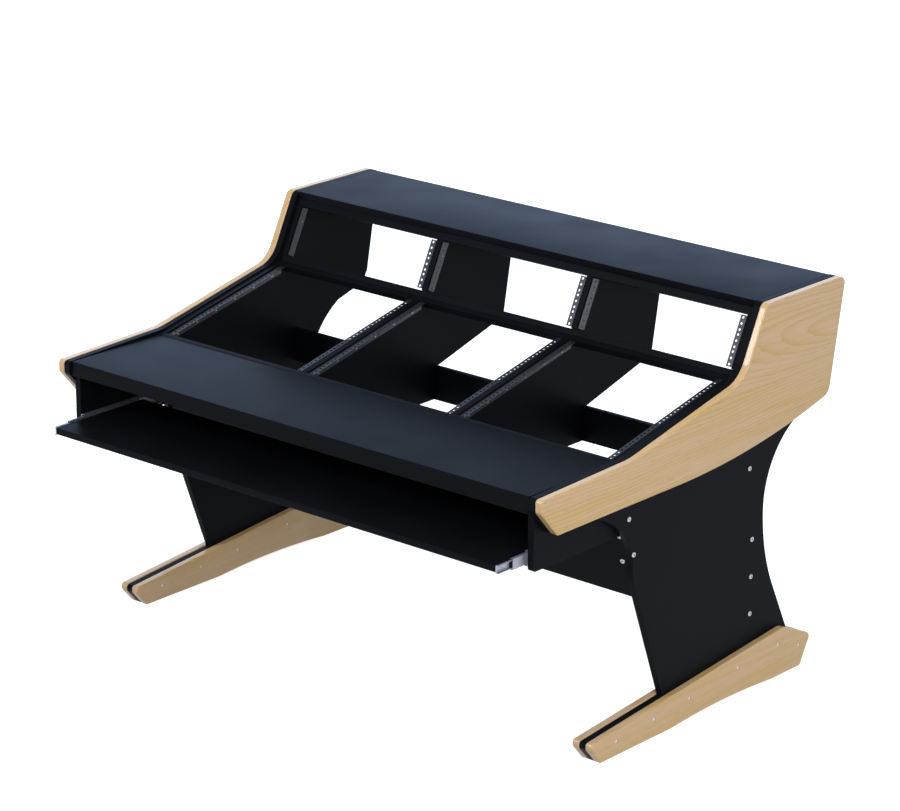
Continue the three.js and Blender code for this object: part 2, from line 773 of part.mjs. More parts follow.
// A slide member: a channel with its web on one side and two flanges, as a section in (x, z).
function channel(webX, reach, height, frontY) {
  const half = height / 2;
  const inside = half - slideMetalThickness;
  const metal = Math.sign(reach) * slideMetalThickness;
  const shape = new THREE.Shape([
    point(webX, -half), point(webX + reach, -half), point(webX + reach, -inside),
    point(webX + metal, -inside), point(webX + metal, inside),
    point(webX + reach, inside), point(webX + reach, half), point(webX, half),
  ]);
  const member = new THREE.ExtrudeGeometry(shape, { depth: slideLength, bevelEnabled: false });
  return member.rotateX(Math.PI / 2).translate(0, frontY + slideLength, slideCentre);
}

const outerWeb = boxHalf - seatGap;
const middleWeb = outerWeb - slideMetalThickness - cageMetalThickness - 2 * seatGap;
const innerWeb = trayHalf + seatGap;
const innerMemberDepth = middleWeb - slideMetalThickness - cageMetalThickness - 2 * seatGap - innerWeb;
addPair('slide_outer', channel(outerWeb, -outerMemberDepth, outerMemberHeight, compartmentFront), zincSteel);
addPair('slide_middle', channel(
  middleWeb, -middleMemberDepth, middleMemberHeight, compartmentFront - trayOpenAtRest / 2), zincSteel);
addPair('slide_inner', channel(innerWeb, innerMemberDepth, innerMemberHeight, trayFront), zincSteel);

// Ball cage: a folded strip that carries a row of balls above and below, between two members.
function ballCage(outerHeight, innerHeight, webX, frontY) {
  const outerFace = outerHeight / 2 - slideMetalThickness;
  const innerFace = innerHeight / 2;
  const middle = (outerFace + innerFace) / 2;
  const radius = (outerFace - innerFace) / 2 - ballClearance;
  const armReach = ballInset + radius;
  const ballX = webX - ballInset;
  const web = block(
    new THREE.Vector3(webX - cageMetalThickness, frontY, -middle),
    new THREE.Vector3(webX, frontY + cageLength, middle));
  const rows = [-1, 1].flatMap((side) => [
    block(
      new THREE.Vector3(webX - armReach, frontY, side * middle - cageMetalThickness / 2),
      new THREE.Vector3(webX, frontY + cageLength, side * middle + cageMetalThickness / 2)),
    ...Array.from({ length: cageBalls }, (_, i) => new THREE.SphereGeometry(radius, ballSides, ballRings)
      .rotateX(Math.PI / 2)
      .translate(ballX, frontY + cageLength * (i + 1 / 2) / cageBalls, side * middle)),
  ]);
  return join([web, ...rows]).translate(0, 0, slideCentre);
}

const cageFront = (openShare) => compartmentFront + cageStart - openShare * trayOpenAtRest;
const outerCageWeb = outerWeb - slideMetalThickness - seatGap;
const innerCageWeb = middleWeb - slideMetalThickness - seatGap;
const outerCage = ballCage(outerMemberHeight, middleMemberHeight, outerCageWeb, cageFront(1 / 4));
const innerCage = ballCage(middleMemberHeight, innerMemberHeight, innerCageWeb, cageFront(3 / 4));
addPair('ball_cage_outer', outerCage, zincSteel);
addPair('ball_cage_inner', innerCage, zincSteel);

// Origin at the middle of the base.
const reach = new THREE.Box3().setFromObject(desk);
const middle = reach.getCenter(new THREE.Vector3());
desk.position.set(-middle.x, -middle.y, -reach.min.z);

export default desk;
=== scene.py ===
# %% [markdown]
# # A studio desk with rack bays, wooden side boards and a sliding keyboard tray
# The desk is made of flat boards, so nearly every piece is one outline, drawn in the plane across
# the desk's side, with a thickness along X. The solids of the frame already stand where the boards
# stand. This script makes the same boards again with fine curves, eased edges and finishes, and
# adds the small hardware.

# %% Frame
import json
from math import acos, asin, atan, atan2, ceil, cos, degrees, pi, radians, sin, sqrt, tan
import bpy
import numpy as np
from numpy.linalg import det, norm
from mathutils import Matrix, Vector
from mathutils.geometry import delaunay_2d_cdt

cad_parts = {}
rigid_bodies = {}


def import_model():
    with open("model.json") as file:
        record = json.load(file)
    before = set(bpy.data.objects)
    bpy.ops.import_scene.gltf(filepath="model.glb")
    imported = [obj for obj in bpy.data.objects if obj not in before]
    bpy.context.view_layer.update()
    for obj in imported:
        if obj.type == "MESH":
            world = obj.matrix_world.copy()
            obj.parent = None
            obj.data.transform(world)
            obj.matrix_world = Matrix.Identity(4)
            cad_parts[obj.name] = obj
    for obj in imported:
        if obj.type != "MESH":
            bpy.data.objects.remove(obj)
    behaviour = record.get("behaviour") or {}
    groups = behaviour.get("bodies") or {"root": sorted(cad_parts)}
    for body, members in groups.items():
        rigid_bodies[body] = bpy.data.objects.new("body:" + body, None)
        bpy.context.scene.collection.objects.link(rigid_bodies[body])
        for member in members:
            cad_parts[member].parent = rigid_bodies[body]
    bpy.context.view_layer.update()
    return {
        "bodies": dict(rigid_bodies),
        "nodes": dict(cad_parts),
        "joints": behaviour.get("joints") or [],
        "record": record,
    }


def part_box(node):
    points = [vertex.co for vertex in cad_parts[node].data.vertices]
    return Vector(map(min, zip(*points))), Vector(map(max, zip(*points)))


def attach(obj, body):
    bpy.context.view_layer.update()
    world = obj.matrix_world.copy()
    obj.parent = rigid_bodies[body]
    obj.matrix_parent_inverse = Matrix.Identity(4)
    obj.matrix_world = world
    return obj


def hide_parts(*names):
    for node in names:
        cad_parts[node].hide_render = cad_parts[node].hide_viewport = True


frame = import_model()
MM = 0.001

# %% [markdown]
# ## Sizes
# The boards share a few driving sizes: the board thickness, the rack unit and the slopes of the two
# rows. They could be read back from the frame's meshes, but named values in millimetres say what
# each one means, and every outline below is worked out from them.

# %% Sizes
# Millimetres, measured from the foot of the sloping deck and up from the floor.
RACK_UNIT, RACK_PANEL, HOLE_SPAN, HOLE_RADIUS = 44.45, 482.6, 465.1, 3.4
HOLE_STEPS = (6.35, 15.875, 15.875)
CLEAR_WIDTH, SIDE_GAP, BAYS, LOWER_UNITS, UPPER_UNITS = 450, 4, 3, 10, 3
BOARD, WOOD, SEAT = 18, 22, 0.3
TOP, TOP_REACH, TOP_SIDE_GAP, TOP_ROUND, FASCIA = 737.5, 326.7, 4.4, 1.6, 38
DECK_TILT, DECK_RISE, DECK_END, PANEL_DROP = 12.23, 3.1, 21.1, 362.5
UPPER_TILT, UPPER_START, UPPER_END, UPPER_RAIL_GAP, TOP_RAIL = 63.6, 20.3, 23.6, 5, 20
SHELF_DEPTH = 307
BOX_SETBACK, BOX_DROP, BOX_CORNER = 13, 191.5, 9
TRAY_DROP, TRAY_DEPTH, TRAY_OPEN = 151.5, 310, 100
UNDER = TOP - 101.5

BAY = RACK_PANEL + 2 * SIDE_GAP
PITCH = BAY + BOARD
BOX_HALF = (BAYS * BAY + (BAYS - 1) * BOARD) / 2
FRAME_IN = BOX_HALF + BOARD
FRAME_OUT = FRAME_IN + BOARD
WOOD_OUT = FRAME_OUT + WOOD
CHEEK_IN = FRAME_IN - WOOD
# Where the foot of the deck stands in the desk's own frame.
ROW_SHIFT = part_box("worktop")[0].y / MM + TOP_REACH
print("bays every", round(PITCH, 2), "mm, desk", round(2 * WOOD_OUT, 2), "mm wide")


# %% [markdown]
# ## Drawing outlines
# An outline is a row of corners in (y, z), each with a radius. It could be a curve object drawn by
# hand. Here the corners come from the same slopes as the real boards, and every radius becomes a
# fine arc, so the highlights run smoothly along the edges.

# %% Outline tools
# How far a curve may stand off its facets.
FINE_SAG = 0.012


def direction(tilt):
    """The unit vector (cos, sin) of a tilt in degrees."""
    return np.array([cos(radians(tilt)), sin(radians(tilt))])


def unit(vectors):
    """Vectors divided by their lengths."""
    return vectors / norm(vectors, axis=-1, keepdims=True)


def along(start, tilt, run, rise=0.0):
    """A place that lies run along a tilt from start, and rise off it at a right angle."""
    ahead = direction(tilt)
    return np.asarray(start, float) + run * ahead + rise * np.array([-ahead[1], ahead[0]])


def meet(a, tilt_a, b, tilt_b):
    """Where two lines cross, by a ratio of cross products."""
    line_a, line_b = direction(tilt_a), direction(tilt_b)
    gap = np.asarray(b, float) - a
    turn = line_a[0] * line_b[1] - line_a[1] * line_b[0]
    return along(a, tilt_a, (gap[0] * line_b[1] - gap[1] * line_b[0]) / turn)


def level(tilt, start, height):
    """Where a tilted line through start reaches a height."""
    return meet(start, tilt, (0, height), 0)


def arc(centre, radius, start, end, height=None):
    """Points at centre + (radius cos, height sin), with facets within FINE_SAG of the curve."""
    height = height or radius
    facet = 2 * acos(1 - min(FINE_SAG / max(radius, height), 0.5))
    steps = max(4, ceil(radians(abs(end - start)) / facet))
    angle = np.radians(np.linspace(start, end, steps + 1))
    return np.c_[centre[0] + radius * np.cos(angle), centre[1] + height * np.sin(angle)]


def round_corner(before, at, after, radius):
    """An arc that touches both sides of a corner, at radius / tan(half its angle) from it."""
    if radius <= 0:
        return [at]
    back, on = before - at, after - at
    room = 0.49 * min(norm(back), norm(on))
    back, on = unit(back), unit(on)
    half = acos(np.clip(back @ on, -1, 1)) / 2
    if half > radians(89.9):
        return [at]
    reach = min(radius / tan(half), room)
    fitted = reach * tan(half)
    centre = at + unit(back + on) * fitted / sin(half)
    first, last = at + back * reach - centre, at + on * reach - centre
    start = degrees(atan2(first[1], first[0]))
    turn = (degrees(atan2(last[1], last[0])) - start + 180) % 360 - 180
    return list(arc(centre, fitted, start, start + turn))


def outline(corners, soft=0.0):
    """A closed outline. A corner is (y, z), rounded by soft, or ((y, z), radius)."""
    rows = [(np.asarray(c[0], float), c[1]) if np.ndim(c[0]) else (np.asarray(c, float), soft)
            for c in corners]
    points = []
    for i, (at, radius) in enumerate(rows):
        points += round_corner(rows[i - 1][0], at, rows[(i + 1) % len(rows)][0], radius)
    points = np.array(points)
    return points[norm(points - np.roll(points, 1, 0), axis=1) > 1e-4]


def sharp(points):
    """Corners without a radius."""
    return [(p, 0) for p in points]


# %% [markdown]
# ## Building surfaces
# A piece is a shell of grids and caps with its own normals. Bevel and weighted-normal modifiers
# would give similar edges, but computed normals keep the large faces perfectly flat beside their
# small rounded edges.

# %% Surface tools
# Points are merged to this many digits of a millimetre. Outline corners that turn less than
# this many degrees are shaded smooth.
MERGE_DIGITS, SMOOTH_TURN = 4, 25


def add_object(name, data):
    made = bpy.data.objects.new(name, data)
    bpy.context.collection.objects.link(made)
    return made


class Shell:
    """Grids and caps, drawn in a local frame of three columns and an origin."""

    def __init__(self):
        self.points, self.faces, self.normals, self.count = [], [], [], 0
        self.frame, self.origin = np.eye(3), np.zeros(3)

    def at(self, frame, origin):
        """Sets where the next surfaces go."""
        self.frame, self.origin = np.asarray(frame, float), np.asarray(origin, float)
        return self

    def patch(self, points, normals, faces):
        """Faces with their own normals, turned from the local frame into the desk's."""
        self.points.append(np.asarray(points, float) @ self.frame.T + self.origin)
        normals = np.asarray(normals, float) @ self.frame.T
        order = 1 if det(self.frame) > 0 else -1
        for face in faces:
            face = face[::order]
            self.faces.append([self.count + i for i in face])
            self.normals.append([normals[i] for i in face])
        self.count += len(points)

    def grid(self, points, normals, wrap=False):
        """Quads between neighbouring rows and columns. With wrap, each row is a closed ring."""
        rows, columns = points.shape[:2]
        index = np.arange(rows * columns).reshape(rows, columns)
        if wrap:
            index = np.c_[index, index[:, 0]]
        quads = np.stack([index[:-1, :-1], index[:-1, 1:], index[1:, 1:], index[1:, :-1]], -1)
        self.patch(points.reshape(-1, 3), normals.reshape(-1, 3), quads.reshape(-1, 4).tolist())

    def cap(self, shape, x, way, holes=()):
        """A flat face across local X, in triangles between its outline and its round holes."""
        loops = [np.asarray(shape, float), *holes]
        points = [Vector(p) for loop in loops for p in loop]
        edges, first = [], 0
        for loop in loops:
            edges += [(first + i, first + (i + 1) % len(loop)) for i in range(len(loop))]
            first += len(loop)
        corners, _, triangles, *_ = delaunay_2d_cdt(points, edges, [], 1, 1e-5)
        corners = np.array([tuple(c) for c in corners])
        faces = []
        for a, b, c in triangles:
            middle = (corners[a] + corners[b] + corners[c]) / 3
            if any(inside(middle, hole) for hole in holes) or not inside(middle, loops[0]):
                continue
            ab, ac = corners[b] - corners[a], corners[c] - corners[a]
            faces.append([a, b, c] if (ab[0] * ac[1] - ab[1] * ac[0]) * way > 0 else [a, c, b])
        self.patch(flat(x, corners), [(way, 0, 0)] * len(corners), faces)

    def make(self, name, material, slot, body="frame", new=False):
        """The piece, with its coinciding points merged. Unless new, it replaces its namesake."""
        points = np.concatenate(self.points)
        _, first, same = np.unique(np.round(points, MERGE_DIGITS), axis=0, return_index=True,
                                   return_inverse=True)
        same = same.reshape(-1)
        faces, normals = [], []
        for face, around in zip(self.faces, self.normals):
            ids = [int(same[i]) for i in face]
            keep = [i for i in range(len(ids)) if ids[i] != ids[i - 1]]
            if len(keep) > 2:
                faces.append([ids[i] for i in keep])
                normals += [around[i] for i in keep]
        place = points[first] + (0, ROW_SHIFT, 0)
        mesh = bpy.data.meshes.new(name)
        mesh.from_pydata((place * MM).tolist(), [], faces)
        mesh.shade_smooth()
        mesh.normals_split_custom_set([tuple(n) for n in normals])
        mesh.materials.append(material)
        piece = add_object(name, mesh)
        if not new:
            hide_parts(name)
        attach(piece, body)
        print(f"{name}: {len(faces)} faces on {body}")


def inside(point, loop):
    """Whether a point lies in a closed loop: a ray from it crosses an odd number of edges."""
    a, b = loop, np.roll(loop, -1, 0)
    crosses = (a[:, 1] > point[1]) != (b[:, 1] > point[1])
    a, b = a[crosses], b[crosses]
    at = a[:, 0] + (point[1] - a[:, 1]) / (b[:, 1] - a[:, 1]) * (b[:, 0] - a[:, 0])
    return np.count_nonzero(at > point[0]) % 2 == 1


# %% Boards
def facing(way):
    """A local frame whose X points out to one side of the desk."""
    return np.diag([way, 1, 1])


def flat(x, points):
    """Points (y, z) in the plane at one X."""
    return np.c_[np.full(len(points), x), points]


def circle(place, radius, sides=28):
    """Points at place + radius (cos, sin)."""
    angle = np.linspace(0, 2 * pi, sides, endpoint=False)
    return np.c_[place[0] + radius * np.cos(angle), place[1] + radius * np.sin(angle)]


def board(shell, shape, start, end, eases=(0.0, 0.0), steps=4, bores=()):
    """A board with its outline in (y, z), carried along X from start to end. An eased edge is a
    quarter circle: it steps back by ease (1 - cos) and in, along the mitres, by ease (1 - sin).
    Each bore is (y, z, radius, depth, side), a blind round hole in the face on that side."""
    shape = np.asarray(shape, float)
    after = np.roll(shape, -1, 0)
    if np.sum(shape[:, 0] * after[:, 1] - after[:, 0] * shape[:, 1]) < 0:
        shape = shape[::-1]
    ahead = np.roll(shape, -1, 0) - shape
    out = unit(np.c_[ahead[:, 1], -ahead[:, 0]])
    before = np.roll(out, 1, 0)
    turn = np.sum(out * before, axis=1)
    mitre = (out + before) / (1 + turn)[:, None]
    blend = unit(out + before)
    smooth = (turn > cos(radians(SMOOTH_TURN)))[:, None]
    at_start = np.where(smooth, blend, out)
    at_end = np.roll(np.where(smooth, blend, before), -1, 0)
    rings = []
    for ease, face, way in ((eases[0], start, -1), (eases[1], end, 1)):
        side = [(face, 0.0, 0.0, 1.0)]
        if ease > 0:
            turns = [(cos(a), sin(a)) for a in np.linspace(0, pi / 2, steps + 1)]
            side = [(face - way * ease * (1 - c), ease * (1 - s), way * c, s) for c, s in turns]
        rings += side if way < 0 else side[::-1]
    count = len(shape)
    grid = np.zeros((len(rings), 2 * count, 3))
    normals = np.zeros_like(grid)
    for k, (x, inset, along_x, across) in enumerate(rings):
        ring = shape - inset * mitre
        grid[k, 0::2], grid[k, 1::2] = flat(x, ring), flat(x, np.roll(ring, -1, 0))
        normals[k, 0::2] = flat(along_x, across * at_start)
        normals[k, 1::2] = flat(along_x, across * at_end)
    index = np.arange(len(rings) * 2 * count).reshape(len(rings), 2 * count)
    low, high = index[:-1], index[1:]
    quads = np.stack([low[:, 0::2], low[:, 1::2], high[:, 1::2], high[:, 0::2]], -1).reshape(-1, 4)
    shell.patch(grid.reshape(-1, 3), normals.reshape(-1, 3), quads.tolist())
    for x, row, way in ((start, 0, -1), (end, -1, 1)):
        rims = []
        for y, z, radius, depth, side in bores:
            if side != way:
                continue
            rim = circle((y, z), radius)
            rims.append(rim)
            inward = flat(0, (np.array((y, z)) - rim) / radius)
            wall = np.array([flat(x, rim), flat(x - way * depth, rim)])
            shell.grid(wall[::way], np.array([inward, inward]), wrap=True)
            shell.cap(rim, x - way * depth, way)
        shell.cap(grid[row, 0::2, 1:], x, way, rims)


# %% Turned forms
def lathe(shell, segments, sides=36):
    """Turned surfaces, at (x, radius cos, radius sin). A segment is a row of (x, radius), smooth
    from end to end, ordered so that its outside lies to the right of the way it runs."""
    ring = flat(0, circle((0, 0), 1, sides))
    axis = np.array([1.0, 0, 0])
    for segment in segments:
        line = np.asarray(segment, float)
        slope = unit(np.gradient(line, axis=0))
        rows = np.array([axis * x + ring * radius for x, radius in line])
        normals = np.array([-axis * dr + ring * dx for dx, dr in slope])
        shell.grid(rows, normals, wrap=True)


def recess(shell, x, rim, corners, depth, sides):
    """A flat round top of radius rim, facing local +X, with a drive sunk in at its corners."""
    shell.cap(circle((0, 0), rim, sides), x, 1, [corners])
    for a, b in zip(corners, np.roll(corners, -1, 0)):
        step = unit(b - a)
        wall = [(x, *b), (x, *a), (x - depth, *a), (x - depth, *b)]
        shell.patch(wall, [(0, -step[1], step[0])] * 4, [[0, 1, 2, 3]])
    shell.cap(corners, x - depth, 1)


# %% [markdown]
# ## Finishes
# The desk has lacquered wood, black laminate, painted steel, rolled zinc and plated steel. Each
# gets its detail from a node group that reads the piece's own coordinates, so the grain runs
# through a board and round its edges. Pictures of wood could be wrapped on instead, but they would
# repeat and stretch over the edges.

# %% Node tools
class Graph:
    """Short calls that add nodes to a tree and join them up."""

    def __init__(self, tree):
        self.tree = tree

    def node(self, kind, inputs=(), out=0, **settings):
        """An output of a new node, whose inputs come in order, or by name or number."""
        made = self.tree.nodes.new("ShaderNode" + kind)
        for key, value in settings.items():
            setattr(made, key, value)
        for key, value in inputs.items() if isinstance(inputs, dict) else enumerate(inputs):
            if isinstance(value, bpy.types.NodeSocket):
                self.tree.links.new(value, made.inputs[key])
            else:
                made.inputs[key].default_value = value
        return made.outputs[out]

    def place(self):
        """The piece's own coordinates, in metres."""
        return self.node("TexCoord", out="Object")

    def colour_input(self, name):
        """A colour that each material gives to its group."""
        self.tree.interface.new_socket(name, in_out="INPUT", socket_type="NodeSocketColor")
        return self.tree.nodes.new("NodeGroupInput").outputs[name]

    def math(self, operation, *values):
        return self.node("Math", values, operation=operation)

    def add(self, a, b):
        return self.math("ADD", a, b)

    def mul(self, a, b):
        return self.math("MULTIPLY", a, b)

    def mad(self, a, b, c):
        """a times b, plus c."""
        return self.math("MULTIPLY_ADD", a, b, c)

    def times(self, vector, *factors):
        """A vector scaled by a factor along each axis."""
        return self.node("VectorMath", (vector, factors), operation="MULTIPLY")

    def split(self, vector):
        return self.node("SeparateXYZ", (vector,)).node.outputs

    def join(self, *parts):
        return self.node("CombineXYZ", parts)

    def noise(self, vector, scale, detail=2.0, rough=0.5, bend=0.0):
        return self.node("TexNoise", {"Vector": vector, "Scale": scale, "Detail": detail,
                                      "Roughness": rough, "Distortion": bend})

    def remap(self, value, low, high, to_low, to_high):
        return self.node("MapRange", (value, low, high, to_low, to_high))

    def spread(self, noise, low=0.0, high=1.0):
        """The middle of a noise, stretched over a range."""
        return self.remap(noise, 0.3, 0.7, low, high)

    def mix(self, share, a, b):
        """Colour a, with a share of colour b."""
        return self.node("Mix", {0: share, 6: a, 7: b}, 2, data_type="RGBA")

    def bump(self, height, distance, strength):
        return self.node("Bump", {"Strength": strength, "Distance": distance, "Height": height})


# %% Materials
SOCKETS = {"Base Color": "NodeSocketColor", "Roughness": "NodeSocketFloat",
           "Normal": "NodeSocketVector"}


def detail_group(name, build):
    """A node group with the outputs that build returns."""
    tree = bpy.data.node_groups.new(name, "ShaderNodeTree")
    outputs = build(Graph(tree))
    end = tree.nodes.new("NodeGroupOutput")
    for (key, kind), value in zip(SOCKETS.items(), outputs):
        tree.interface.new_socket(key, in_out="OUTPUT", socket_type=kind)
        tree.links.new(value, end.inputs[key])
    return tree


def finish(name, group, build, values=(), **constants):
    """A material with constants on its shader and a group, built once, with its own values."""
    tree = bpy.data.node_groups.get(group) or detail_group(group, build)
    made = bpy.data.materials.new(name)
    made.use_nodes = True
    shader = made.node_tree.nodes["Principled BSDF"]
    for key, value in constants.items():
        shader.inputs[key.replace("_", " ")].default_value = value
    detail = made.node_tree.nodes.new("ShaderNodeGroup")
    detail.node_tree = tree
    for i, value in enumerate(values):
        detail.inputs[i].default_value = value
    for key in SOCKETS:
        made.node_tree.links.new(detail.outputs[key], shader.inputs[key])
    print("finish:", name)
    return made


def shade(code):
    """A linear colour from a screen colour's six digits."""
    parts = [int(code[i:i + 2], 16) / 255 for i in (0, 2, 4)]
    return (*(c / 12.92 if c <= 0.04045 else ((c + 0.055) / 1.055) ** 2.4 for c in parts), 1.0)


# %% [markdown]
# The wood is cut from a round trunk: the distance from the pith gives the year rings, and where the
# pith leans across the board they open into arches. A plain wave texture would give straight
# stripes. The ring's sawtooth darkens slowly and ends sharply, as late wood does, and fine noise
# along the grain adds streaks and pores. The black board has a faint pebble, and the metals have
# rolling lines or a cloudy plating. Lengths are metres here, as in the pieces' own coordinates.

# %% Wood
WOOD_PINK, WOOD_YELLOW, WOOD_LATE = shade("e6c08f"), shade("e0bb71"), shade("d4a951")
WOOD_DARK, WOOD_PORE = shade("be9663"), shade("997144")
# The place of the pith, and how far it runs out along Y.
PITH_X, PITH_Z, PITH_RUN = 0.709, 0.912, -0.09
# The grain leans about one Y, with one slope below two heights and one above.
LEAN_LOW, LEAN_HIGH, LEAN_FOOT, LEAN_HEAD, LEAN_Y = 0.80, 0.92, -0.08, 0.13, 0.45
# Year rings in a metre, and those added close to the pith.
RINGS, CORE_RINGS, CORE_FADE, RING_SHIFT = 160.0, 13.0, -10.0, -12.78


def year_rings(g, grain, depth, y, z):
    """How many rings lie between the pith and a point: the distance from it times RINGS, with
    more of them close to it, and a little noise so that they wander."""
    lean = g.remap(z, LEAN_LOW, LEAN_HIGH, LEAN_FOOT, LEAN_HEAD)
    flow = g.mad(lean, g.add(y, -LEAN_Y), z)
    wander = g.add(g.noise(g.times(grain, 1.0, 1.1, 5.0), 2.2), -0.5)
    up = g.add(g.mad(wander, 0.03, flow), -PITH_Z)
    off = g.mad(y, PITH_RUN, g.add(depth, -PITH_X))
    radius = g.math("SQRT", g.add(g.mul(up, up), g.mul(off, off)))
    core = g.mul(g.math("EXPONENT", g.mul(radius, CORE_FADE)), CORE_RINGS)
    rings = g.add(g.mad(radius, RINGS, core), RING_SHIFT)
    uneven = g.add(g.noise(g.join(rings, 0.0, 0.0), 0.7), -0.5)
    ragged = g.add(g.noise(g.times(grain, 60.0, 9.0, 130.0), 1.0, 2.0, 0.6), -0.5)
    return g.add(g.mad(uneven, 1.1, rings), g.mul(ragged, 0.30))


def wood_detail(g):
    """Late wood by the part of a ring that has grown, with streaks and pores."""
    shift = g.mul(g.node("ObjectInfo", out="Random"), 7.0)
    x, y, z = g.split(g.place())
    depth = g.math("ABSOLUTE", x)
    grain = g.join(depth, g.add(y, shift), z)
    part = g.math("FRACT", year_rings(g, grain, depth, y, z))
    rise = g.math("POWER", g.remap(part, 0.2, 0.9, 0.0, 1.0), 1.8)
    late = g.mul(rise, g.remap(part, 0.9, 1.0, 1.0, 0.0))
    streak = g.noise(g.times(grain, 14.0, 1.3, 34.0), 1.0, 3.0, 0.55, 0.3)
    fine = g.noise(g.times(grain, 240.0, 7.0, 420.0), 1.0, 3.0, 0.65)
    pores = g.remap(g.noise(g.times(grain, 620.0, 26.0, 900.0), 1.0), 0.60, 0.74, 0.0, 1.0)
    colour = g.mix(g.remap(streak, 0.45, 0.7, 0.0, 0.75), WOOD_PINK, WOOD_YELLOW)
    colour = g.mix(g.mul(late, g.remap(streak, 0.3, 0.65, 0.3, 0.9)), colour, WOOD_LATE)
    colour = g.mix(g.remap(fine, 0.35, 0.75, 0.0, 0.2), colour, WOOD_DARK)
    colour = g.mix(g.mul(pores, 0.4), colour, WOOD_PORE)
    height = g.add(g.mul(fine, 0.3), g.mul(pores, -0.8))
    return colour, g.remap(fine, 0.2, 0.8, 0.36, 0.5), g.bump(height, 0.00012, 0.6)


wood = finish("side_wood", "lacquered_wood", wood_detail,
              IOR=1.3, Coat_Weight=0.38, Coat_Roughness=0.12)

# %% Black board and metals
BLACK_LOW, BLACK_HIGH, BLACK_DUST = shade("0f1012"), shade("131417"), shade("2c2d32")
PAINT_LOW, PAINT_HIGH = shade("141517"), shade("1d1e21")
ZINC_LOW, ZINC_HIGH, ZINC_SPANGLE = shade("9c9ca4"), shade("b4b4bc"), shade("8c8c94")
BOLT_DULL, BOLT_BRIGHT = shade("b2b2b8"), shade("cfcfd4")
CAP_DULL, CAP_BRIGHT = shade("eae2e0"), shade("f8f3f2")


def laminate_detail(g):
    """Nearly black and a little cloudy, with dust and a faint pebble."""
    place = g.place()
    grain = g.noise(place, 1300.0)
    pebble = g.noise(place, 420.0, 1.0, 0.4)
    cloud = g.noise(place, 5.0, 3.0)
    dust = g.remap(g.noise(place, 2400.0, 1.0), 0.66, 0.8, 0.0, 0.16)
    colour = g.mix(dust, g.mix(g.spread(cloud), BLACK_LOW, BLACK_HIGH), BLACK_DUST)
    rough = g.add(g.spread(cloud, 0.36, 0.43), g.mul(grain, 0.06))
    height = g.add(g.mul(grain, 0.5), pebble)
    return colour, rough, g.bump(height, 0.00006, 0.5)


def paint_detail(g):
    """Dark paint with the small waves of sprayed paint."""
    peel = g.noise(g.place(), 900.0)
    colour = g.mix(g.spread(peel), PAINT_LOW, PAINT_HIGH)
    return colour, g.spread(peel, 0.34, 0.5), g.bump(peel, 0.00008, 0.6)


def rolled_detail(g):
    """Noise drawn out along Y as rolling lines, over the cells of a spangle."""
    place = g.place()
    line = g.noise(g.times(place, 900.0, 9.0, 900.0), 1.0, 3.0, 0.6)
    spangle = g.node("TexVoronoi", {"Vector": place, "Scale": 260.0}, "Distance")
    cloud = g.noise(place, 30.0)
    colour = g.mix(g.spread(line), ZINC_LOW, ZINC_HIGH)
    colour = g.mix(g.mul(spangle, 0.3), colour, ZINC_SPANGLE)
    rough = g.add(g.spread(line, 0.34, 0.48), g.spread(cloud, 0.0, 0.08))
    return colour, rough, g.bump(line, 0.00004, 0.5)


def plated_detail(g):
    """Clouds between the two colours that each material gives, with small pits."""
    dull, bright = g.colour_input("Dull Color"), g.colour_input("Bright Color")
    place = g.place()
    cloud = g.noise(place, 160.0, 3.0, 0.6)
    pit = g.noise(place, 1500.0)
    colour = g.mix(g.spread(cloud), dull, bright)
    return colour, g.spread(cloud, 0.36, 0.5), g.bump(pit, 0.00003, 0.5)


black = finish("black_laminate", "pearl_laminate", laminate_detail, IOR=1.1)
strip_paint = finish("strip_paint", "peel_paint", paint_detail, IOR=1.5)
steel = finish("slide_zinc", "rolled_zinc", rolled_detail, Metallic=0.8)
bolt_steel = finish("bolt_zinc", "plated_zinc", plated_detail, (BOLT_DULL, BOLT_BRIGHT),
                    Metallic=0.6)
cap_steel = finish("cap_zinc", "plated_zinc", plated_detail, (CAP_DULL, CAP_BRIGHT), Metallic=0.1)

# %% [markdown]
# ## Main lines of the side profile
# The side is a chain of straight boards: worktop, deck slope, upper row and shelf. Points could be
# listed one by one, but walking along each slope from the last corner keeps the rack rows a whole
# number of units long. The foot and the bracket under the deck use arcs and eased curves, which
# follow the routed edge of the real sheet.

# %% Side profile
# How far the side stands past the boards inside it.
NOSE_REACH, NOSE_DROP, NOSE_RUN, NOSE_ROUND = 7, 32.5, 59.7, 15
ARM_DROP, ARM_TILT, DECK_PROUD, UPPER_PROUD = 0.3, 1.6, 3.6, 12.4
REAR_REACH, REAR_TILT, BACK_INSET = 20.8, 90 - 10.7, 30
# The underside is an arc from its lowest place to a setback from the rear.
BELLY_RADIUS, BELLY_LOW, BELLY_SETBACK = 2400, 184.3, 101.7

TOP_FRONT = -TOP_REACH
NOSE = TOP_FRONT - NOSE_REACH
DECK = np.array([0, TOP + DECK_RISE])
VALLEY = along(DECK, DECK_TILT, LOWER_UNITS * RACK_UNIT + DECK_END)
UPPER = along(VALLEY, UPPER_TILT, UPPER_START)
SHELF_LOW = along(UPPER, UPPER_TILT, UPPER_UNITS * RACK_UNIT + UPPER_END)
SHELF_TOP = SHELF_LOW[1] + BOARD
SHELF_REAR = SHELF_LOW[0] + SHELF_DEPTH
SIDE_REAR = SHELF_REAR + REAR_REACH
PANEL_FACE = along(DECK, DECK_TILT, -BOARD)
DOWN = DECK_TILT - 90
BELLY_CENTRE = (BELLY_LOW, UNDER + BELLY_RADIUS)
BELLY_TURN = degrees(asin((SIDE_REAR - BELLY_SETBACK - BELLY_LOW) / BELLY_RADIUS))

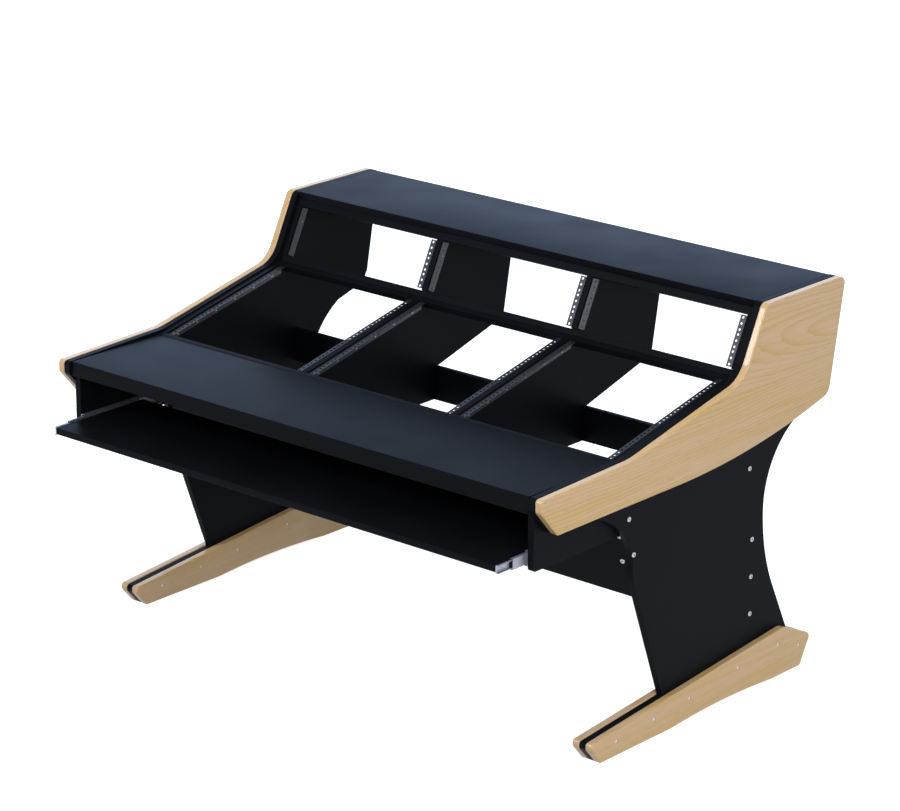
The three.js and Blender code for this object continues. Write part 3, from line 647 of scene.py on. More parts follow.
deck_edge = along(DECK, DECK_TILT, 0, DECK_PROUD)
upper_edge = along(VALLEY, UPPER_TILT, 0, UPPER_PROUD)
arm = (NOSE, TOP - ARM_DROP)
top_rear = (SIDE_REAR, SHELF_TOP)
belly = arc(BELLY_CENTRE, BELLY_RADIUS, -90, -90 + BELLY_TURN)
nose = [((NOSE, TOP - NOSE_DROP), NOSE_ROUND), ((NOSE + NOSE_RUN, UNDER), NOSE_ROUND)]
over = [
    (meet(belly[-1], BELLY_TURN, top_rear, REAR_TILT), 50),
    (top_rear, 18),
    (meet(upper_edge, UPPER_TILT, top_rear, 0), 22),
    (meet(deck_edge, DECK_TILT, upper_edge, UPPER_TILT), 90),
    (meet(arm, ARM_TILT, deck_edge, DECK_TILT), 220),
    (arm, 10),
]
SIDE = outline(nose + sharp(belly) + over)
print("side board outline:", len(SIDE), "points")

# %% Foot
FOOT_SETBACK, FOOT_LENGTH, ARCH_START, ARCH_HALF, ARCH_RISE = 192, 897.7, 314, 210, 9
TOE_LOW, TOE_HIGH, TOE_RUN, HEEL_HEIGHT, HEEL_RUN = 42, 59, 36, 77.1, 43.7
PEAK, PEAK_SETBACK, CORE_INSET = 129.4, 120.7, 1
FOOT_FRONT = TOP_FRONT + FOOT_SETBACK
FOOT_REAR = FOOT_FRONT + FOOT_LENGTH


def foot_corners(inset):
    """The foot's underside from toe to heel, its peak, and the toe's upper corner. The arch is
    part of a circle, and spans 2 atan(rise / half its width) to each side of its middle."""
    middle = FOOT_FRONT + ARCH_START + ARCH_HALF
    half = 2 * atan(ARCH_RISE / ARCH_HALF)
    radius = ARCH_HALF / sin(half)
    arch = arc((middle, ARCH_RISE - radius), radius, 90 + degrees(half), 90 - degrees(half))
    underside = [
        ((FOOT_FRONT + inset, TOE_LOW), 12),
        ((FOOT_FRONT + TOE_RUN + inset, 0), 6),
        *sharp(arch),
        ((FOOT_REAR - HEEL_RUN - inset, 0), 6),
        ((FOOT_REAR - inset, HEEL_HEIGHT), 14),
    ]
    peak = (FOOT_REAR - PEAK_SETBACK, PEAK - inset)
    return underside, peak, (FOOT_FRONT + inset, TOE_HIGH - inset)


underside, peak, toe = foot_corners(0)
FOOT = outline(underside + [(peak, 30), (toe, 12)])
print("foot outline:", len(FOOT), "points")

# %% Leg
# Its front edge has a bracket above it, and its rear edge a waist.
LEG_FRONT, LEG_CORNER, LEG_TILT = 38.5, 203, 90 + 20.3
BRACKET_REACH, BRACKET_HEIGHT, BRACKET_RUN = 228, 178, -30
LEG_REAR, WAIST_DROP = 566.8, 171
LOW_RADIUS, LOW_TURN, HIGH_RADIUS, HIGH_TURN = 496, 25.7, 238, 57.7


def tilt_between(a, b):
    """The tilt of the line from a to b."""
    return degrees(atan2(b[1] - a[1], b[0] - a[0]))


underside, peak, toe = foot_corners(CORE_INSET)
corner = np.array([LEG_FRONT, UNDER - LEG_CORNER])
bracket = arc((LEG_FRONT - BRACKET_REACH, UNDER - BRACKET_HEIGHT), BRACKET_REACH, 90, 0,
              BRACKET_HEIGHT)
low = along(corner, LEG_TILT, BRACKET_RUN)
# The bracket eases into the leg: (1 - share)^2 end + 2 share (1 - share) corner + share^2 low.
share = np.linspace(0, 1, 14)[:, None]
ease = (1 - share) ** 2 * bracket[-1] + 2 * share * (1 - share) * corner + share ** 2 * low
front_joint = meet(corner, LEG_TILT, toe, tilt_between(toe, peak))
waist = UNDER - WAIST_DROP
lower = arc((LEG_REAR + LOW_RADIUS, waist), LOW_RADIUS, 180 + LOW_TURN, 180)
upper = arc((LEG_REAR + HIGH_RADIUS, waist), HIGH_RADIUS, 180, 180 - HIGH_TURN)
rear_joint = meet(lower[0], 90 + LOW_TURN, peak, tilt_between(peak, underside[-1][0]))
# The rear edge runs straight on to the underside's arc, and joins it where they are closest.
line = upper[-1] + np.linspace(0, 200, 4001)[:, None] * direction(90 - HIGH_TURN)
off = np.hypot(line[:, 0] - BELLY_CENTRE[0], line[:, 1] - BELLY_CENTRE[1]) - BELLY_RADIUS
belly_joint = line[np.abs(off).argmin()]
rest = [p for p in belly if p[0] > belly_joint[0] + 4]
FRAME = outline([
    *nose, *sharp(bracket), *sharp(ease[1:]), (front_joint, 1.5), (toe, 12), *underside,
    (rear_joint, 1.5), *sharp(lower), *sharp(upper[1:]), (belly_joint, 1.5), *sharp(rest), *over,
])
print("side frame outline:", len(FRAME), "points")

# %% [markdown]
# ## Side frames, side boards and feet
# Each side frame is one routed sheet, from the nose down through the leg to the core of the foot.
# The wooden board outside it and the two cheeks of the foot have wide rounded edges. They could be
# cut with Booleans and bevels, but one outline with its own edge radius makes a clean mesh.

# %% Side frames, side boards and feet
SIDES = (("right", 1), ("left", -1))
BOARD_EASE, WOOD_EASE, WOOD_STEPS, BORE_RADIUS, BORE_DEPTH = 0.8, 4, 6, 5.3, 2.6
# Shares of the foot's length and of its height.
FOOT_BOLTS = [(FOOT_FRONT + a * FOOT_LENGTH, b * PEAK) for a, b in (
    (0.106, 0.298), (0.271, 0.375), (0.429, 0.452), (0.651, 0.6), (0.841, 0.677), (0.9415, 0.456))]
CHEEKS = (("outer", FRAME_OUT + SEAT, WOOD_OUT, 1), ("inner", CHEEK_IN, FRAME_IN - SEAT, -1))


def black_board(name, shape, start, end, way=1, ease=BOARD_EASE, body="frame"):
    """A board from start to end along X, mirrored if its way is -1."""
    shell = Shell()
    board(shell, shape, *sorted((way * start, way * end)), (ease, ease))
    shell.make(name, black, "black_board", body)


def wood_board(name, shape, start, end, way, bores=()):
    """A side board or the cheek of a foot."""
    shell, ends = Shell(), sorted((way * start, way * end))
    board(shell, shape, *ends, (WOOD_EASE, WOOD_EASE), WOOD_STEPS, bores)
    shell.make(name, wood, "ash_wood")


for side, way in SIDES:
    black_board(f"side_frame_{side}", FRAME, FRAME_IN, FRAME_OUT, way)
    wood_board(f"side_board_{side}", SIDE, FRAME_OUT + SEAT, WOOD_OUT, way)
    for name, start, end, out in CHEEKS:
        bores = [(*place, BORE_RADIUS, BORE_DEPTH, out * way) for place in FOOT_BOLTS]
        wood_board(f"foot_cheek_{name}_{side}", FOOT, start, end, way, bores)

# %% [markdown]
# ## Boards that cross the desk
# The worktop's front edge is mitred. Its fascia could be a board of its own, but the real one shows
# no seam, so one outline holds both. The deck panel closes the rack box at an angle, and two short
# sides carry the keyboard tray.

# %% Worktop, deck panel and tray compartment
def cross_board(name, corners, half=FRAME_IN - SEAT, ease=BOARD_EASE, body="frame"):
    """A black board across the desk, as far to the left as to the right."""
    black_board(name, outline(corners, BOARD_EASE), -half, half, 1, ease, body)


face = along(PANEL_FACE, DECK_TILT, -SEAT)
cross_board("worktop", [
    (TOP_FRONT, TOP - FASCIA),
    (TOP_FRONT + BOARD, TOP - FASCIA),
    (TOP_FRONT + BOARD, TOP - BOARD),
    level(DOWN, face, TOP - BOARD),
    level(DOWN, face, TOP),
    ((TOP_FRONT, TOP), TOP_ROUND),
], FRAME_IN - TOP_SIDE_GAP)
cross_board("deck_panel", [
    PANEL_FACE,
    level(DOWN, PANEL_FACE, TOP - PANEL_DROP),
    level(DOWN, DECK, TOP - PANEL_DROP),
    DECK,
])

box_front = TOP_FRONT + BOX_SETBACK
fascia_back = TOP_FRONT + BOARD + SEAT
tray_side_shape = outline([
    ((box_front, TOP - BOX_DROP), BOX_CORNER),
    level(DOWN, face, TOP - BOX_DROP),
    level(DOWN, face, TOP - BOARD - SEAT),
    (fascia_back, TOP - BOARD - SEAT),
    (fascia_back, TOP - FASCIA - SEAT),
    (box_front, TOP - FASCIA - SEAT),
], BOARD_EASE)
for side, way in SIDES:
    black_board(f"tray_side_{side}", tray_side_shape, BOX_HALF, FRAME_IN - SEAT, way)

# %% [markdown]
# ## Rack box
# Dividers and rack sides are boards like the frame, cut to the two slopes. Rails join them at the
# valley, under the shelf and at the back. Booleans could cut the notches for the rails. Here they
# are corners of the outline, taken from the rails' own corners, so each keeps an even gap.

# %% Shapes of the rails and dividers
RACK_EASE, RAIL_EASE, NOTCH_GAP, RACK_BACK_RISE, RACK_SIDE_DROP = 0.6, 0.4, 0.5, 76, 186
BACK_RAIL_INSET, BACK_RAIL_HEIGHT = 18, 90
RAIL_Y, RAIL_TOP, RAIL_HEIGHT = 502.7, UNDER + 1, 92
CROSS_Y, CROSS_FOOT, CROSS_HEIGHT = 521.3, 150, 295


def block(y0, y1, z0, z1):
    """The corners of a rectangle."""
    return [(y0, z0), (y1, z0), (y1, z1), (y0, z1)]


def mid_rail():
    """A bent rail behind the valley, with a leg along each slope."""
    start = along(VALLEY, DECK_TILT, 2 * SEAT - DECK_END)
    end = along(UPPER, UPPER_TILT, -UPPER_RAIL_GAP)
    start_back, end_back = along(start, DECK_TILT, 0, -BOARD), along(end, UPPER_TILT, 0, -BOARD)
    inner = meet(start_back, DECK_TILT, end_back, UPPER_TILT)
    return [start, VALLEY, end, end_back, inner, start_back]


def top_rail():
    """A rail along the end of the upper slope, cut level under the shelf."""
    end = level(UPPER_TILT, VALLEY, SHELF_LOW[1] - SEAT)
    start = along(end, UPPER_TILT, -TOP_RAIL)
    start_back = along(start, UPPER_TILT, 0, -BOARD)
    return [start, end, level(UPPER_TILT, start_back, end[1]), start_back]


def back_rail():
    """An upright rail behind the racks, under the shelf."""
    back = SIDE_REAR - BACK_INSET - BACK_RAIL_INSET
    return block(back - BOARD, back, SHELF_LOW[1] - BACK_RAIL_HEIGHT, SHELF_LOW[1] - SEAT)


def rack_shape(foot, notched):
    """A rack side or divider down to a foot height, with or without notches for the rails."""
    back_face = along(DECK, DECK_TILT, SEAT)
    seat = SHELF_LOW[1] - SEAT
    rail_front = RAIL_Y - BOARD / 2 - SEAT
    back_top = SIDE_REAR - BACK_INSET
    back_foot = level(REAR_TILT, (back_top, seat), UNDER + RACK_BACK_RISE)
    corners = [
        back_face,
        level(DOWN, back_face, foot),
        (rail_front, foot),
        (rail_front, RAIL_TOP + SEAT),
        (RAIL_Y + BOARD / 2, RAIL_TOP + SEAT),
        back_foot,
        (back_top, seat),
    ]
    if not notched:
        return outline(corners + [level(UPPER_TILT, VALLEY, seat), VALLEY], RACK_EASE)
    gap = NOTCH_GAP
    (y0, low), (y1, _), _, _ = back_rail()
    corners += [(y1 + gap, seat), (y1 + gap, low - gap), (y0 - gap, low - gap), (y0 - gap, seat)]
    start, end, end_back, start_back = top_rail()
    corners += [end_back + (gap, 0), along(start_back, UPPER_TILT, -gap, -gap),
                along(start, UPPER_TILT, -gap)]
    start, _, end, end_back, inner, start_back = mid_rail()
    corners += [along(end, UPPER_TILT, gap), along(end_back, UPPER_TILT, gap, -gap),
                inner + (gap, -gap), along(start_back, DECK_TILT, -gap, -gap),
                along(start, DECK_TILT, -gap)]
    return outline(corners, RAIL_EASE)


# %% Racks and shelf
rail_end = BOX_HALF + BOARD / 2
for name, rail in (("mid_rail", mid_rail), ("top_rail", top_rail), ("top_back_rail", back_rail)):
    cross_board(name, rail(), rail_end - SEAT, RAIL_EASE)

# A rack side is notched only as far out as the rails reach.
for side, way in SIDES:
    shell = Shell()
    for notched, a, b in ((True, BOX_HALF, rail_end), (False, rail_end, FRAME_IN - SEAT)):
        start, end = sorted((way * a, way * b))
        eases = (RACK_EASE, 0) if (way > 0) == notched else (0, RACK_EASE)
        board(shell, rack_shape(UNDER - RACK_SIDE_DROP, notched), start, end, eases)
    shell.make(f"rack_side_{side}", black, "black_board")
divider_shape = rack_shape(RAIL_TOP - RAIL_HEIGHT, True)
for i in range(1, BAYS):
    middle = (i - BAYS / 2) * PITCH
    black_board(f"divider_{i}", divider_shape, middle - BOARD / 2, middle + BOARD / 2)

cross_board("top_shelf", block(SHELF_LOW[0], SHELF_REAR, SHELF_LOW[1], SHELF_TOP))
for name, y, low, high in (
    ("rear_rail", RAIL_Y, RAIL_TOP - RAIL_HEIGHT, RAIL_TOP),
    ("rear_cross_panel", CROSS_Y, CROSS_FOOT, CROSS_FOOT + CROSS_HEIGHT),
):
    cross_board(name, block(y - BOARD / 2, y + BOARD / 2, low, high))

# %% [markdown]
# ## Keyboard tray
# The tray is a flat board with eased edges. It could ride the frame and stand still. Instead it
# rides a body of its own, so that it moves with the inner members of its slides.

# %% Keyboard tray
SLIDE_GAP = 12.7
tray_front = box_front - TRAY_OPEN
tray_top = TOP - TRAY_DROP
tray_corners = block(tray_front, tray_front + TRAY_DEPTH, tray_top - BOARD, tray_top)
cross_board("keyboard_tray", tray_corners, BOX_HALF - SLIDE_GAP - 2 * SEAT, body="tray")

# %% [markdown]
# ## Bolts and screws
# Heads are turned, with hexagon sockets. A Boolean could sink each socket, but a lathe whose last
# ring meets the socket's corners gives a lighter mesh. The bolts of the feet have domed heads in
# shallow bores, and those of the legs and of the deck panel are low heads on the surface.

# %% Heads
def cross(reach, half):
    """A cross recess: the three corners of one arm, turned by quarters."""
    quarter = np.array([(reach, -half), (reach, half), (half, half)])
    return np.array([(c * x - d * y, d * x + c * y)
                     for c, d in ((1, 0), (0, 1), (-1, 0), (0, -1)) for x, y in quarter])


def low_head(shell, radius, height, drive, depth, sides=36):
    """A short wall, a rounded edge that is a quarter circle, and a flat top with a sunk drive."""
    wall, rounded = 0.45 * height, 0.55 * height
    crown = radius - rounded
    angle = np.linspace(0, pi / 2, 7)
    edge = np.c_[height - rounded * (1 - np.sin(angle)), crown + rounded * np.cos(angle)]
    rim = 1.12 * norm(drive, axis=1).max()
    lathe(shell, [[(0, radius), (wall, radius)], edge, [(height, crown), (height, rim)]], sides)
    recess(shell, height, rim, drive, depth, sides)


def domed_head(shell, radius, height):
    """A short wall and a dome, a quarter of an ellipse."""
    angle, wall = np.linspace(0, pi / 2, 9), 0.2 * height
    dome = np.c_[wall + (height - wall) * np.sin(angle), radius * np.cos(angle)]
    lathe(shell, [[(0, radius), (wall, radius)], dome])


# %% Bolts
# Radius, height, drive, depth of the drive, and the screws' fewer sides.
BOLT_HEAD = 6.6, 2.4, circle((0, 0), 4 / sqrt(3), 6), 1.7
SCREW_HEAD = 3.6, 1.9, cross(1.9, 0.4), 1.1, 18
FOOT_HEAD = 5, 2.5
PANEL_CORE, LEG_BOLT_GAP, LEG_BOLT_DROPS = 6, 0.02, (45.5, 142)
CROSS_BOLT_SHARES, RING_BOLT_DROPS, RING_BOLT_INSET = (0.16, 0.5, 0.84), (98, 166), 4.2

core = along(PANEL_FACE, DECK_TILT, PANEL_CORE)
LEG_BOLTS = [
    *[level(DOWN, core, UNDER - drop) for drop in LEG_BOLT_DROPS],
    (RAIL_Y, RAIL_TOP - RAIL_HEIGHT / 2),
    *[(CROSS_Y, CROSS_FOOT + share * CROSS_HEIGHT) for share in CROSS_BOLT_SHARES],
]
ahead = direction(DECK_TILT)
off_panel = np.array([[0, 1, 0], [-ahead[0], 0, ahead[1]], [-ahead[1], 0, -ahead[0]]])
for side, way in SIDES:
    for i, place in enumerate(LEG_BOLTS, 1):
        shell = Shell().at(facing(way), (way * (FRAME_OUT + LEG_BOLT_GAP), *place))
        low_head(shell, *BOLT_HEAD)
        shell.make(f"leg_bolt_{i}_{side}", bolt_steel, "bolt_steel")
    shell = Shell()
    for place in FOOT_BOLTS:
        for x, out in ((WOOD_OUT, 1), (CHEEK_IN, -1)):
            shell.at(facing(way * out), (way * (x - out * BORE_DEPTH), *place))
            domed_head(shell, *FOOT_HEAD)
    shell.make(f"foot_bolts_{side}", cap_steel, "bolt_steel", new=True)
    shell = Shell()
    for drop in RING_BOLT_DROPS:
        place = level(DOWN, PANEL_FACE, UNDER - drop)
        shell.at(off_panel, (way * (BOX_HALF + RING_BOLT_INSET), *place))
        low_head(shell, *BOLT_HEAD)
    shell.make(f"ring_bolts_{side}", bolt_steel, "bolt_steel", new=True)

# %% [markdown]
# ## Rack strips
# A strip is a steel angle with three holes for each rack unit. A picture of holes could be faked in
# the material, but light comes through real ones. So its face is a row of cells, each a grid round
# one hole. Small screws with cross recesses hold it.

# %% Strip shape
STRIP_METAL, STRIP_BEND, STRIP_DEPTH, STRIP_RECESS, STRIP_SCREW_DROP = 2, 1.5, 22, 4, -17


def rack_strip(shell, units):
    """A steel angle in a local frame of X, run along the slope and rise off it. Round each hole,
    a ray runs from the rim to the nearer of the two sides of its cell that it can meet."""
    length, wall, lip = units * RACK_UNIT, BAY / 2 - SEAT, CLEAR_WIDTH / 2
    front, back = -STRIP_RECESS, -STRIP_RECESS - STRIP_METAL
    centre = HOLE_SPAN / 2
    places = np.add.outer(np.arange(units) * RACK_UNIT, np.cumsum(HOLE_STEPS)).ravel()
    cuts = [0, *[(a + b) / 2 for a, b in zip(places, places[1:])], length]
    bend = STRIP_BEND

    for place, low, high in zip(places, cuts, cuts[1:]):
        box = np.array([lip, low, wall - bend, high])
        corner = [atan2(b - place, a - centre) for a in box[[0, 2]] for b in box[[1, 3]]]
        angle = np.sort(np.r_[np.linspace(-pi, pi, 24, endpoint=False), corner])
        ray = np.c_[np.cos(angle), np.sin(angle)]
        rim = ray * HOLE_RADIUS + (centre, place)
        with np.errstate(divide="ignore"):
            reach_x = np.where(ray[:, 0] > 0, box[2] - centre, box[0] - centre) / ray[:, 0]
            reach_y = np.where(ray[:, 1] > 0, box[3] - place, box[1] - place) / ray[:, 1]
        edge = ray * np.minimum(np.abs(reach_x), np.abs(reach_y))[:, None] + (centre, place)
        count = len(angle)
        for w, up, pair in ((front, 1, (rim, edge)), (back, -1, (edge, rim))):
            rows = np.array([np.c_[p, np.full(count, w)] for p in pair])
            shell.grid(rows[:, ::-1], np.full(rows.shape, (0.0, 0, up)), wrap=True)
        rows = np.array([np.c_[rim, np.full(count, w)] for w in (front, back)])
        shell.grid(rows, np.array([np.c_[-ray, np.zeros(count)]] * 2), wrap=True)

    # The leg of the angle: its rounded bend, its flat sides, and the strip's two ends.
    turn = np.linspace(pi / 2, 0, 7)
    ray = np.c_[np.cos(turn), np.sin(turn)]
    outer = ray * bend + (wall - bend, front - bend)
    inner, foot = wall - STRIP_METAL, front - STRIP_DEPTH

    def swept(line, v):
        """A line of (x, rise) at one run along the strip."""
        return np.insert(np.asarray(line, float), 1, v, axis=1)

    for line, out in (
        (outer, ray),
        ([outer[-1], (wall, foot)], [(1, 0)] * 2),
        ([(wall, foot), (inner, foot)], [(0, -1)] * 2),
        ([(inner, foot), (inner, back)], [(-1, 0)] * 2),
        ([(inner, back), (wall - bend, back)], [(0, -1)] * 2),
        ([(lip, back), (lip, front)], [(-1, 0)] * 2),
    ):
        shell.grid(np.array([swept(line, 0), swept(line, length)]), np.array([swept(out, 0)] * 2))
    ends = [(lip, back), (inner, back), (inner, foot), (wall, foot), *outer[::-1], (lip, front)]
    order = list(range(len(ends)))
    shell.patch(swept(ends, 0), [(0, -1, 0)] * len(ends), [order])
    shell.patch(swept(ends, length), [(0, 1, 0)] * len(ends), [order[::-1]])


def slope_frame(tilt, way):
    """A local frame of X outwards, run along a slope and rise off it."""
    ahead = direction(tilt)
    return np.array([[way, 0, 0], [0, ahead[0], -ahead[1]], [0, ahead[1], ahead[0]]])


# %% Rack strips
screws = Shell()
for row, start, tilt, units in (
    ("lower", along(DECK, DECK_TILT, SEAT), DECK_TILT, LOWER_UNITS),
    ("upper", UPPER, UPPER_TILT, UPPER_UNITS),
):
    count = units // 2 + 1
    for bay in range(BAYS):
        origin = ((bay - (BAYS - 1) / 2) * PITCH, *start)
        for side, way in SIDES:
            sloped = slope_frame(tilt, way)
            shell = Shell().at(sloped, origin)
            rack_strip(shell, units)
            shell.make(f"{row}_strip_{bay + 1}_{side}", strip_paint, "strip_steel")
            for k in range(count):
                run = (k + 0.5) * units * RACK_UNIT / count
                at = (BAY / 2 - SEAT - STRIP_METAL, run, STRIP_SCREW_DROP)
                screws.at(facing(-way), sloped @ at + origin)
                low_head(screws, *SCREW_HEAD)
screws.make("strip_screws", bolt_steel, "bolt_steel", new=True)

# %% [markdown]
# ## Slides
# Each slide has three members of folded sheet with ball races between them, and a black release
# lever. Solidify could thicken a bent strip, but would offset its small curls unevenly. So each
# section is the middle line of its sheet, with the thickness laid on both sides.

# %% Slide sections
SLIDE_LENGTH, SHEET, SLIDE_DROP = 300, 1.2, 1
STOP_NEAR, STOP_FAR, STOP_INSET, STOP_ROUND = 9.2, 11.5, 2.2, 0.9
SLIDE_SCREWS, SLIDE_SCREW_DEPTH = (18, 150, 282), 11.5
LEVER_START, LEVER_LENGTH, LEVER_HALF = 47, 36, 8.9
LEVER_PAD, LEVER_TAPER, LEVER_ARM = 15, 5, 4.2
LEVER_BACK, LEVER_FACE, LEVER_RIB, LEVER_EASE = -11.5, -9.3, 0.9, 0.4
RIBS, RIB_HALF, RIB_ROUND, RIB_EASE = (4, 7.5, 11), 0.6, 0.5, 0.3
SLIDE_WEB = BOX_HALF - SEAT
SLIDE_CENTRE = tray_top - BOARD / 2 - SLIDE_DROP
OUTER_HALF, MIDDLE_HALF, INNER_HALF = 38.5 / 2, 29.5 / 2, 20.5 / 2
CAGE_LENGTH, CAGE_START, CAGE_SHEET, CAGE_GAP = 120, 88, 0.6, 0.3
BALLS, BALL_OFF, BALL_PLAY = 9, 4, 0.1


def sheet_shape(line, thickness):
    """The outline of a folded sheet from its middle line of ((depth, height), radius), by half
    the thickness along the mitre at each point, to one side and back on the other."""
    rows = [(np.asarray(at, float), radius) for at, radius in line]
    points = [rows[0][0]]
    for before, (at, radius), after in zip(rows, rows[1:], rows[2:]):
        points += round_corner(before[0], at, after[0], radius)
    points = np.array(points + [rows[-1][0]])
    step = unit(np.diff(points, axis=0))
    side = np.c_[-step[:, 1], step[:, 0]]
    first, last = np.r_[side[:1], side], np.r_[side, side[-1:]]
    mitre = (first + last) / (1 + np.sum(first * last, axis=1))[:, None]
    return np.r_[points + mitre * thickness / 2, (points - mitre * thickness / 2)[::-1]]


def mirrored(upper):
    """The upper half of a section, and its mirror image below."""
    return upper + [((y, -z), radius) for (y, z), radius in upper[::-1]]


def channel_line(web, lip, half, curl):
    """A C-shaped section: web at one depth, flanges reaching to the lip, ends curled in."""
    flange, way = half - SHEET / 2, np.sign(lip - web)
    end = [((lip, flange), 0)]
    if curl:
        end = [((lip, flange - curl), 0), ((lip - way * 1.1, flange), 1.0)]
    return mirrored(end + [((web, flange), 2.0)])


def lever_shape(start):
    """A thumb pad as high as the channel, a taper, and a narrow arm with a round end."""
    pad, arm, end = start + LEVER_PAD, start + LEVER_PAD + LEVER_TAPER, start + LEVER_LENGTH
    return outline(mirrored([((start, LEVER_HALF), 2.5), ((pad, LEVER_HALF), 3),
                             ((arm, LEVER_ARM), 4), ((end, LEVER_ARM), 4.1)]))


# %% Slide members, levers and ball cages
# Each member's section, its share of the tray's way out, and its body.
MEMBERS = (
    ("slide_outer", channel_line(0.6, 9.3, OUTER_HALF, 1.2), 0, "frame"),
    ("slide_middle", channel_line(3.0, 10.1, MIDDLE_HALF, 1.0), 1 / 2, "slide_middle_{}_body"),
    ("slide_inner", channel_line(12.1, 4.8, INNER_HALF, 0), 1, "tray"),
)
# Each cage's web, the half heights of the members round it, and its share of the way out.
CAGES = (
    ("ball_cage_outer", 1.5, OUTER_HALF, MIDDLE_HALF, 1 / 4),
    ("ball_cage_inner", 3.9, MIDDLE_HALF, INNER_HALF, 3 / 4),
)
for side, way in SIDES:
    web_place = (way * SLIDE_WEB, 0, SLIDE_CENTRE)
    slide_frame = np.array([[0, -way, 0], [1, 0, 0], [0, 0, 1]])
    for name, line, share, body in MEMBERS:
        start = box_front - share * TRAY_OPEN
        shell = Shell().at(slide_frame, web_place)
        board(shell, sheet_shape(line, SHEET), start, start + SLIDE_LENGTH)
        if name == "slide_inner":
            stop_half = INNER_HALF - STOP_INSET
            stop = block(STOP_NEAR, STOP_FAR, -stop_half, stop_half)
            board(shell, outline(stop, STOP_ROUND), start, start + SHEET)
        shell.make(f"{name}_{side}", steel, "slide_steel", body.format(side))
    shell = Shell().at(facing(way), web_place)
    lever = tray_front + LEVER_START
    board(shell, lever_shape(lever), LEVER_BACK, LEVER_FACE, (LEVER_EASE, LEVER_EASE))
    for rib in RIBS:
        near, far = lever + rib - RIB_HALF, lever + rib + RIB_HALF
        grip = outline(block(near, far, -LEVER_HALF / 2, LEVER_HALF / 2), RIB_ROUND)
        board(shell, grip, LEVER_FACE, LEVER_FACE + LEVER_RIB, (0, RIB_EASE))
    shell.make(f"slide_lever_{side}", strip_paint, "strip_steel", "tray", new=True)
    shell = Shell()
    for at in SLIDE_SCREWS:
        place = (way * (SLIDE_WEB - SLIDE_SCREW_DEPTH), tray_front + at, SLIDE_CENTRE)
        low_head(shell.at(facing(way), place), *SCREW_HEAD)
    shell.make(f"slide_screws_{side}", bolt_steel, "bolt_steel", "tray", new=True)
    for name, web, outer, inner, share in CAGES:
        start = box_front - share * TRAY_OPEN + CAGE_START
        middle = (outer - SHEET + inner) / 2
        radius = (outer - SHEET - inner) / 2 - BALL_PLAY
        shell = Shell().at(slide_frame, web_place)
        line = mirrored([((web + BALL_OFF + radius, middle), 0), ((web + CAGE_GAP, middle), 1)])
        board(shell, sheet_shape(line, CAGE_SHEET), start, start + CAGE_LENGTH)
        turn = np.linspace(pi, 0, 9)
        ball = np.c_[radius * np.cos(turn), radius * np.sin(turn)]
        for row in (-1, 1):
            for k in range(BALLS):
                at = start + CAGE_LENGTH * (k + 0.5) / BALLS
                place = (way * (SLIDE_WEB - web - BALL_OFF), at, SLIDE_CENTRE + row * middle)
                lathe(shell.at(slide_frame, place), [ball], 14)
        shell.make(f"{name}_{side}", steel, "slide_steel", f"{name}_{side}_body")

# %% [markdown]
# ## Camera
# The camera was solved from the racks, whose panels have a standard width and height. It looks from
# the front right at the picture's angle. It could be placed by eye, but then edges would drift by
# some pixels along the desk.

# %% Camera
AZIMUTH, ELEVATION, ROLL = radians(41.067), radians(18.514), radians(0.128)
EYE = (5.7430, -6.54694, 3.57738)

data = bpy.data.cameras.new("camera")
data.sensor_width, data.lens, data.clip_end = 36, 143.459, 60
data.shift_x, data.shift_y = 0.0028, -0.004146
camera = add_object("camera", data)
bpy.context.scene.camera = camera
back = Vector((sin(AZIMUTH) * cos(ELEVATION), -cos(AZIMUTH) * cos(ELEVATION), sin(ELEVATION)))
right = Vector((cos(AZIMUTH), sin(AZIMUTH), 0))
up = back.cross(right)
turned = Matrix((right * cos(ROLL) + up * sin(ROLL), up * cos(ROLL) - right * sin(ROLL), back))
camera.matrix_world = Matrix.Translation(EYE) @ turned.transposed().to_4x4()
print("camera at", EYE)

# %% [markdown]
# ## Floor, sky and lamps
# The picture has a pure white ground with hardly a shadow, and black faces that mirror it. A plain
# white floor would also light the desk from below. So the floor is white only to the camera, to
# mirrors and to glass, and dark to every other ray. A wide soft lamp lights the wood from the
# right, a small one gives the light streak on the sloping front edges, and a bluish one behind
# gives the sheen on the level boards.

# %% Floor and sky
FLOOR_HALF, FLOOR_GLOW = 30, 0.86
FLOOR_WHITE, FLOOR_DARK = (0.72, 0.72, 0.72, 1), (0.19, 0.19, 0.20, 1)
SKY_LOW, SKY_HIGH, BELOW = (0.40, 0.52, 0.77, 1), (0.40, 0.44, 0.51, 1), (0.03, 0.035, 0.045, 1)


def empty_graph(owner, shader):
    """A graph on a material or world, without the shader that it starts with."""
    owner.use_nodes = True
    owner.node_tree.nodes.remove(owner.node_tree.nodes[shader])
    return Graph(owner.node_tree)


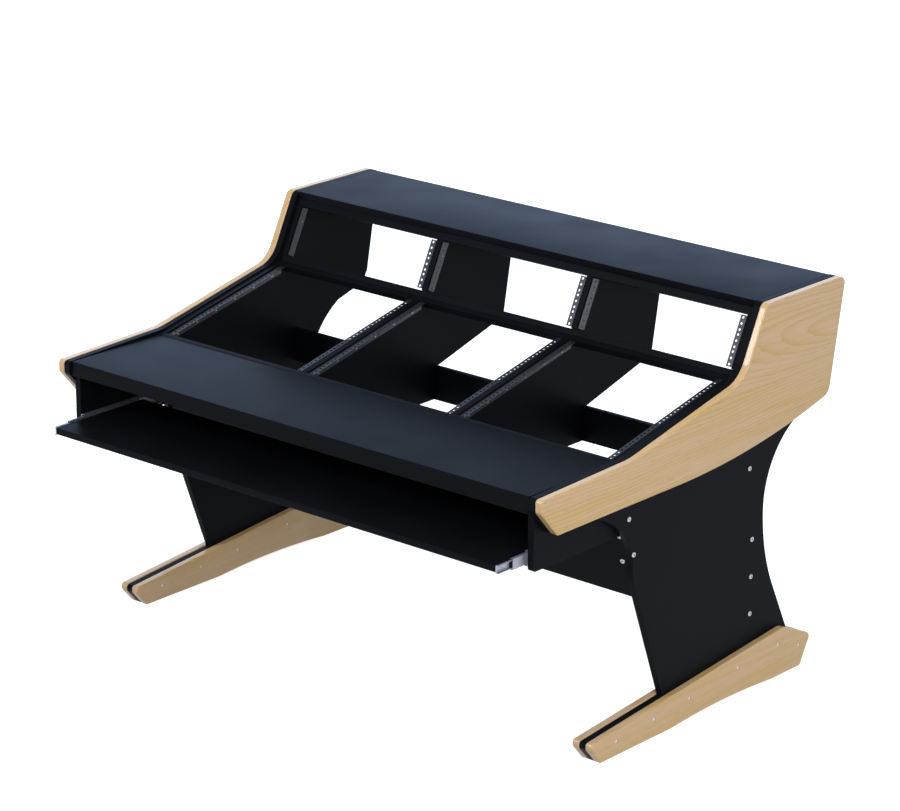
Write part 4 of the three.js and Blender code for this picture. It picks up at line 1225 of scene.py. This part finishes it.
floor_mesh = bpy.data.meshes.new("floor")
floor_corners = [(x, y, 0) for x, y in block(-FLOOR_HALF, FLOOR_HALF, -FLOOR_HALF, FLOOR_HALF)]
floor_mesh.from_pydata(floor_corners, [], [(0, 1, 2, 3)])
floor = add_object("floor", floor_mesh)
paper = bpy.data.materials.new("floor_white")
g = empty_graph(paper, "Principled BSDF")
rays = [g.node("LightPath", out=f"Is {kind} Ray") for kind in ("Camera", "Glossy", "Transmission")]
seen = g.math("MAXIMUM", g.math("MAXIMUM", *rays[:2]), rays[2])
glow = g.node("Emission", {"Color": (1, 1, 1, 1), "Strength": FLOOR_GLOW})
white = g.node("AddShader", (g.node("BsdfDiffuse", (FLOOR_WHITE,)), glow))
dark = g.node("BsdfDiffuse", (FLOOR_DARK,))
surface = g.node("MixShader", (seen, dark, white))
g.tree.links.new(surface, g.tree.nodes["Material Output"].inputs["Surface"])
floor_mesh.materials.append(paper)

world = bpy.data.worlds.new("studio")
bpy.context.scene.world = world
g = empty_graph(world, "Background")
_, _, rise = g.split(g.node("TexCoord", out="Generated"))
sky = g.mix(g.remap(rise, 0.0, 0.9, 0.0, 1.0), SKY_LOW, SKY_HIGH)
sky = g.mix(g.remap(rise, -0.12, 0.0, 0.0, 1.0), BELOW, sky)
surface = g.node("Background", {"Color": sky, "Strength": 1.0})
g.tree.links.new(surface, g.tree.nodes["World Output"].inputs["Surface"])
bpy.context.scene.view_settings.view_transform = "Standard"

# %% Lamps
# Each lamp's name, place, target, size, watts and colour.
LAMPS = (
    ("right", (6.5, -3.4, 2.6), (0.5, 0, 0.5), (4.4, 4.4), 246, (1.0, 0.97, 0.95)),
    ("front_left", (-2.35, -3.85, 3.2), (0.4, 0, 0.8), (0.85, 1.3), 84, (0.93, 0.9, 1.0)),
    ("back_left", (-4.7, 4.6, 3.0), (-0.1, 0.3, 0.8), (5.4, 3.0), 118, (0.5, 0.68, 1.0)),
    ("top", (0.6, -0.2, 4.6), (0.3, 0, 0.8), (2.0, 2.0), 30, (1.0, 0.96, 0.93)),
)
for name, place, target, size, power, colour in LAMPS:
    data = bpy.data.lights.new(name, "AREA")
    data.shape, data.size, data.size_y, data.energy, data.color = "RECTANGLE", *size, power, colour
    lamp = add_object(name, data)
    lamp.location, lamp.rotation_mode = place, "QUATERNION"
    lamp.rotation_quaternion = (Vector(place) - Vector(target)).to_track_quat("Z", "Y")
print("lamps:", len(LAMPS))
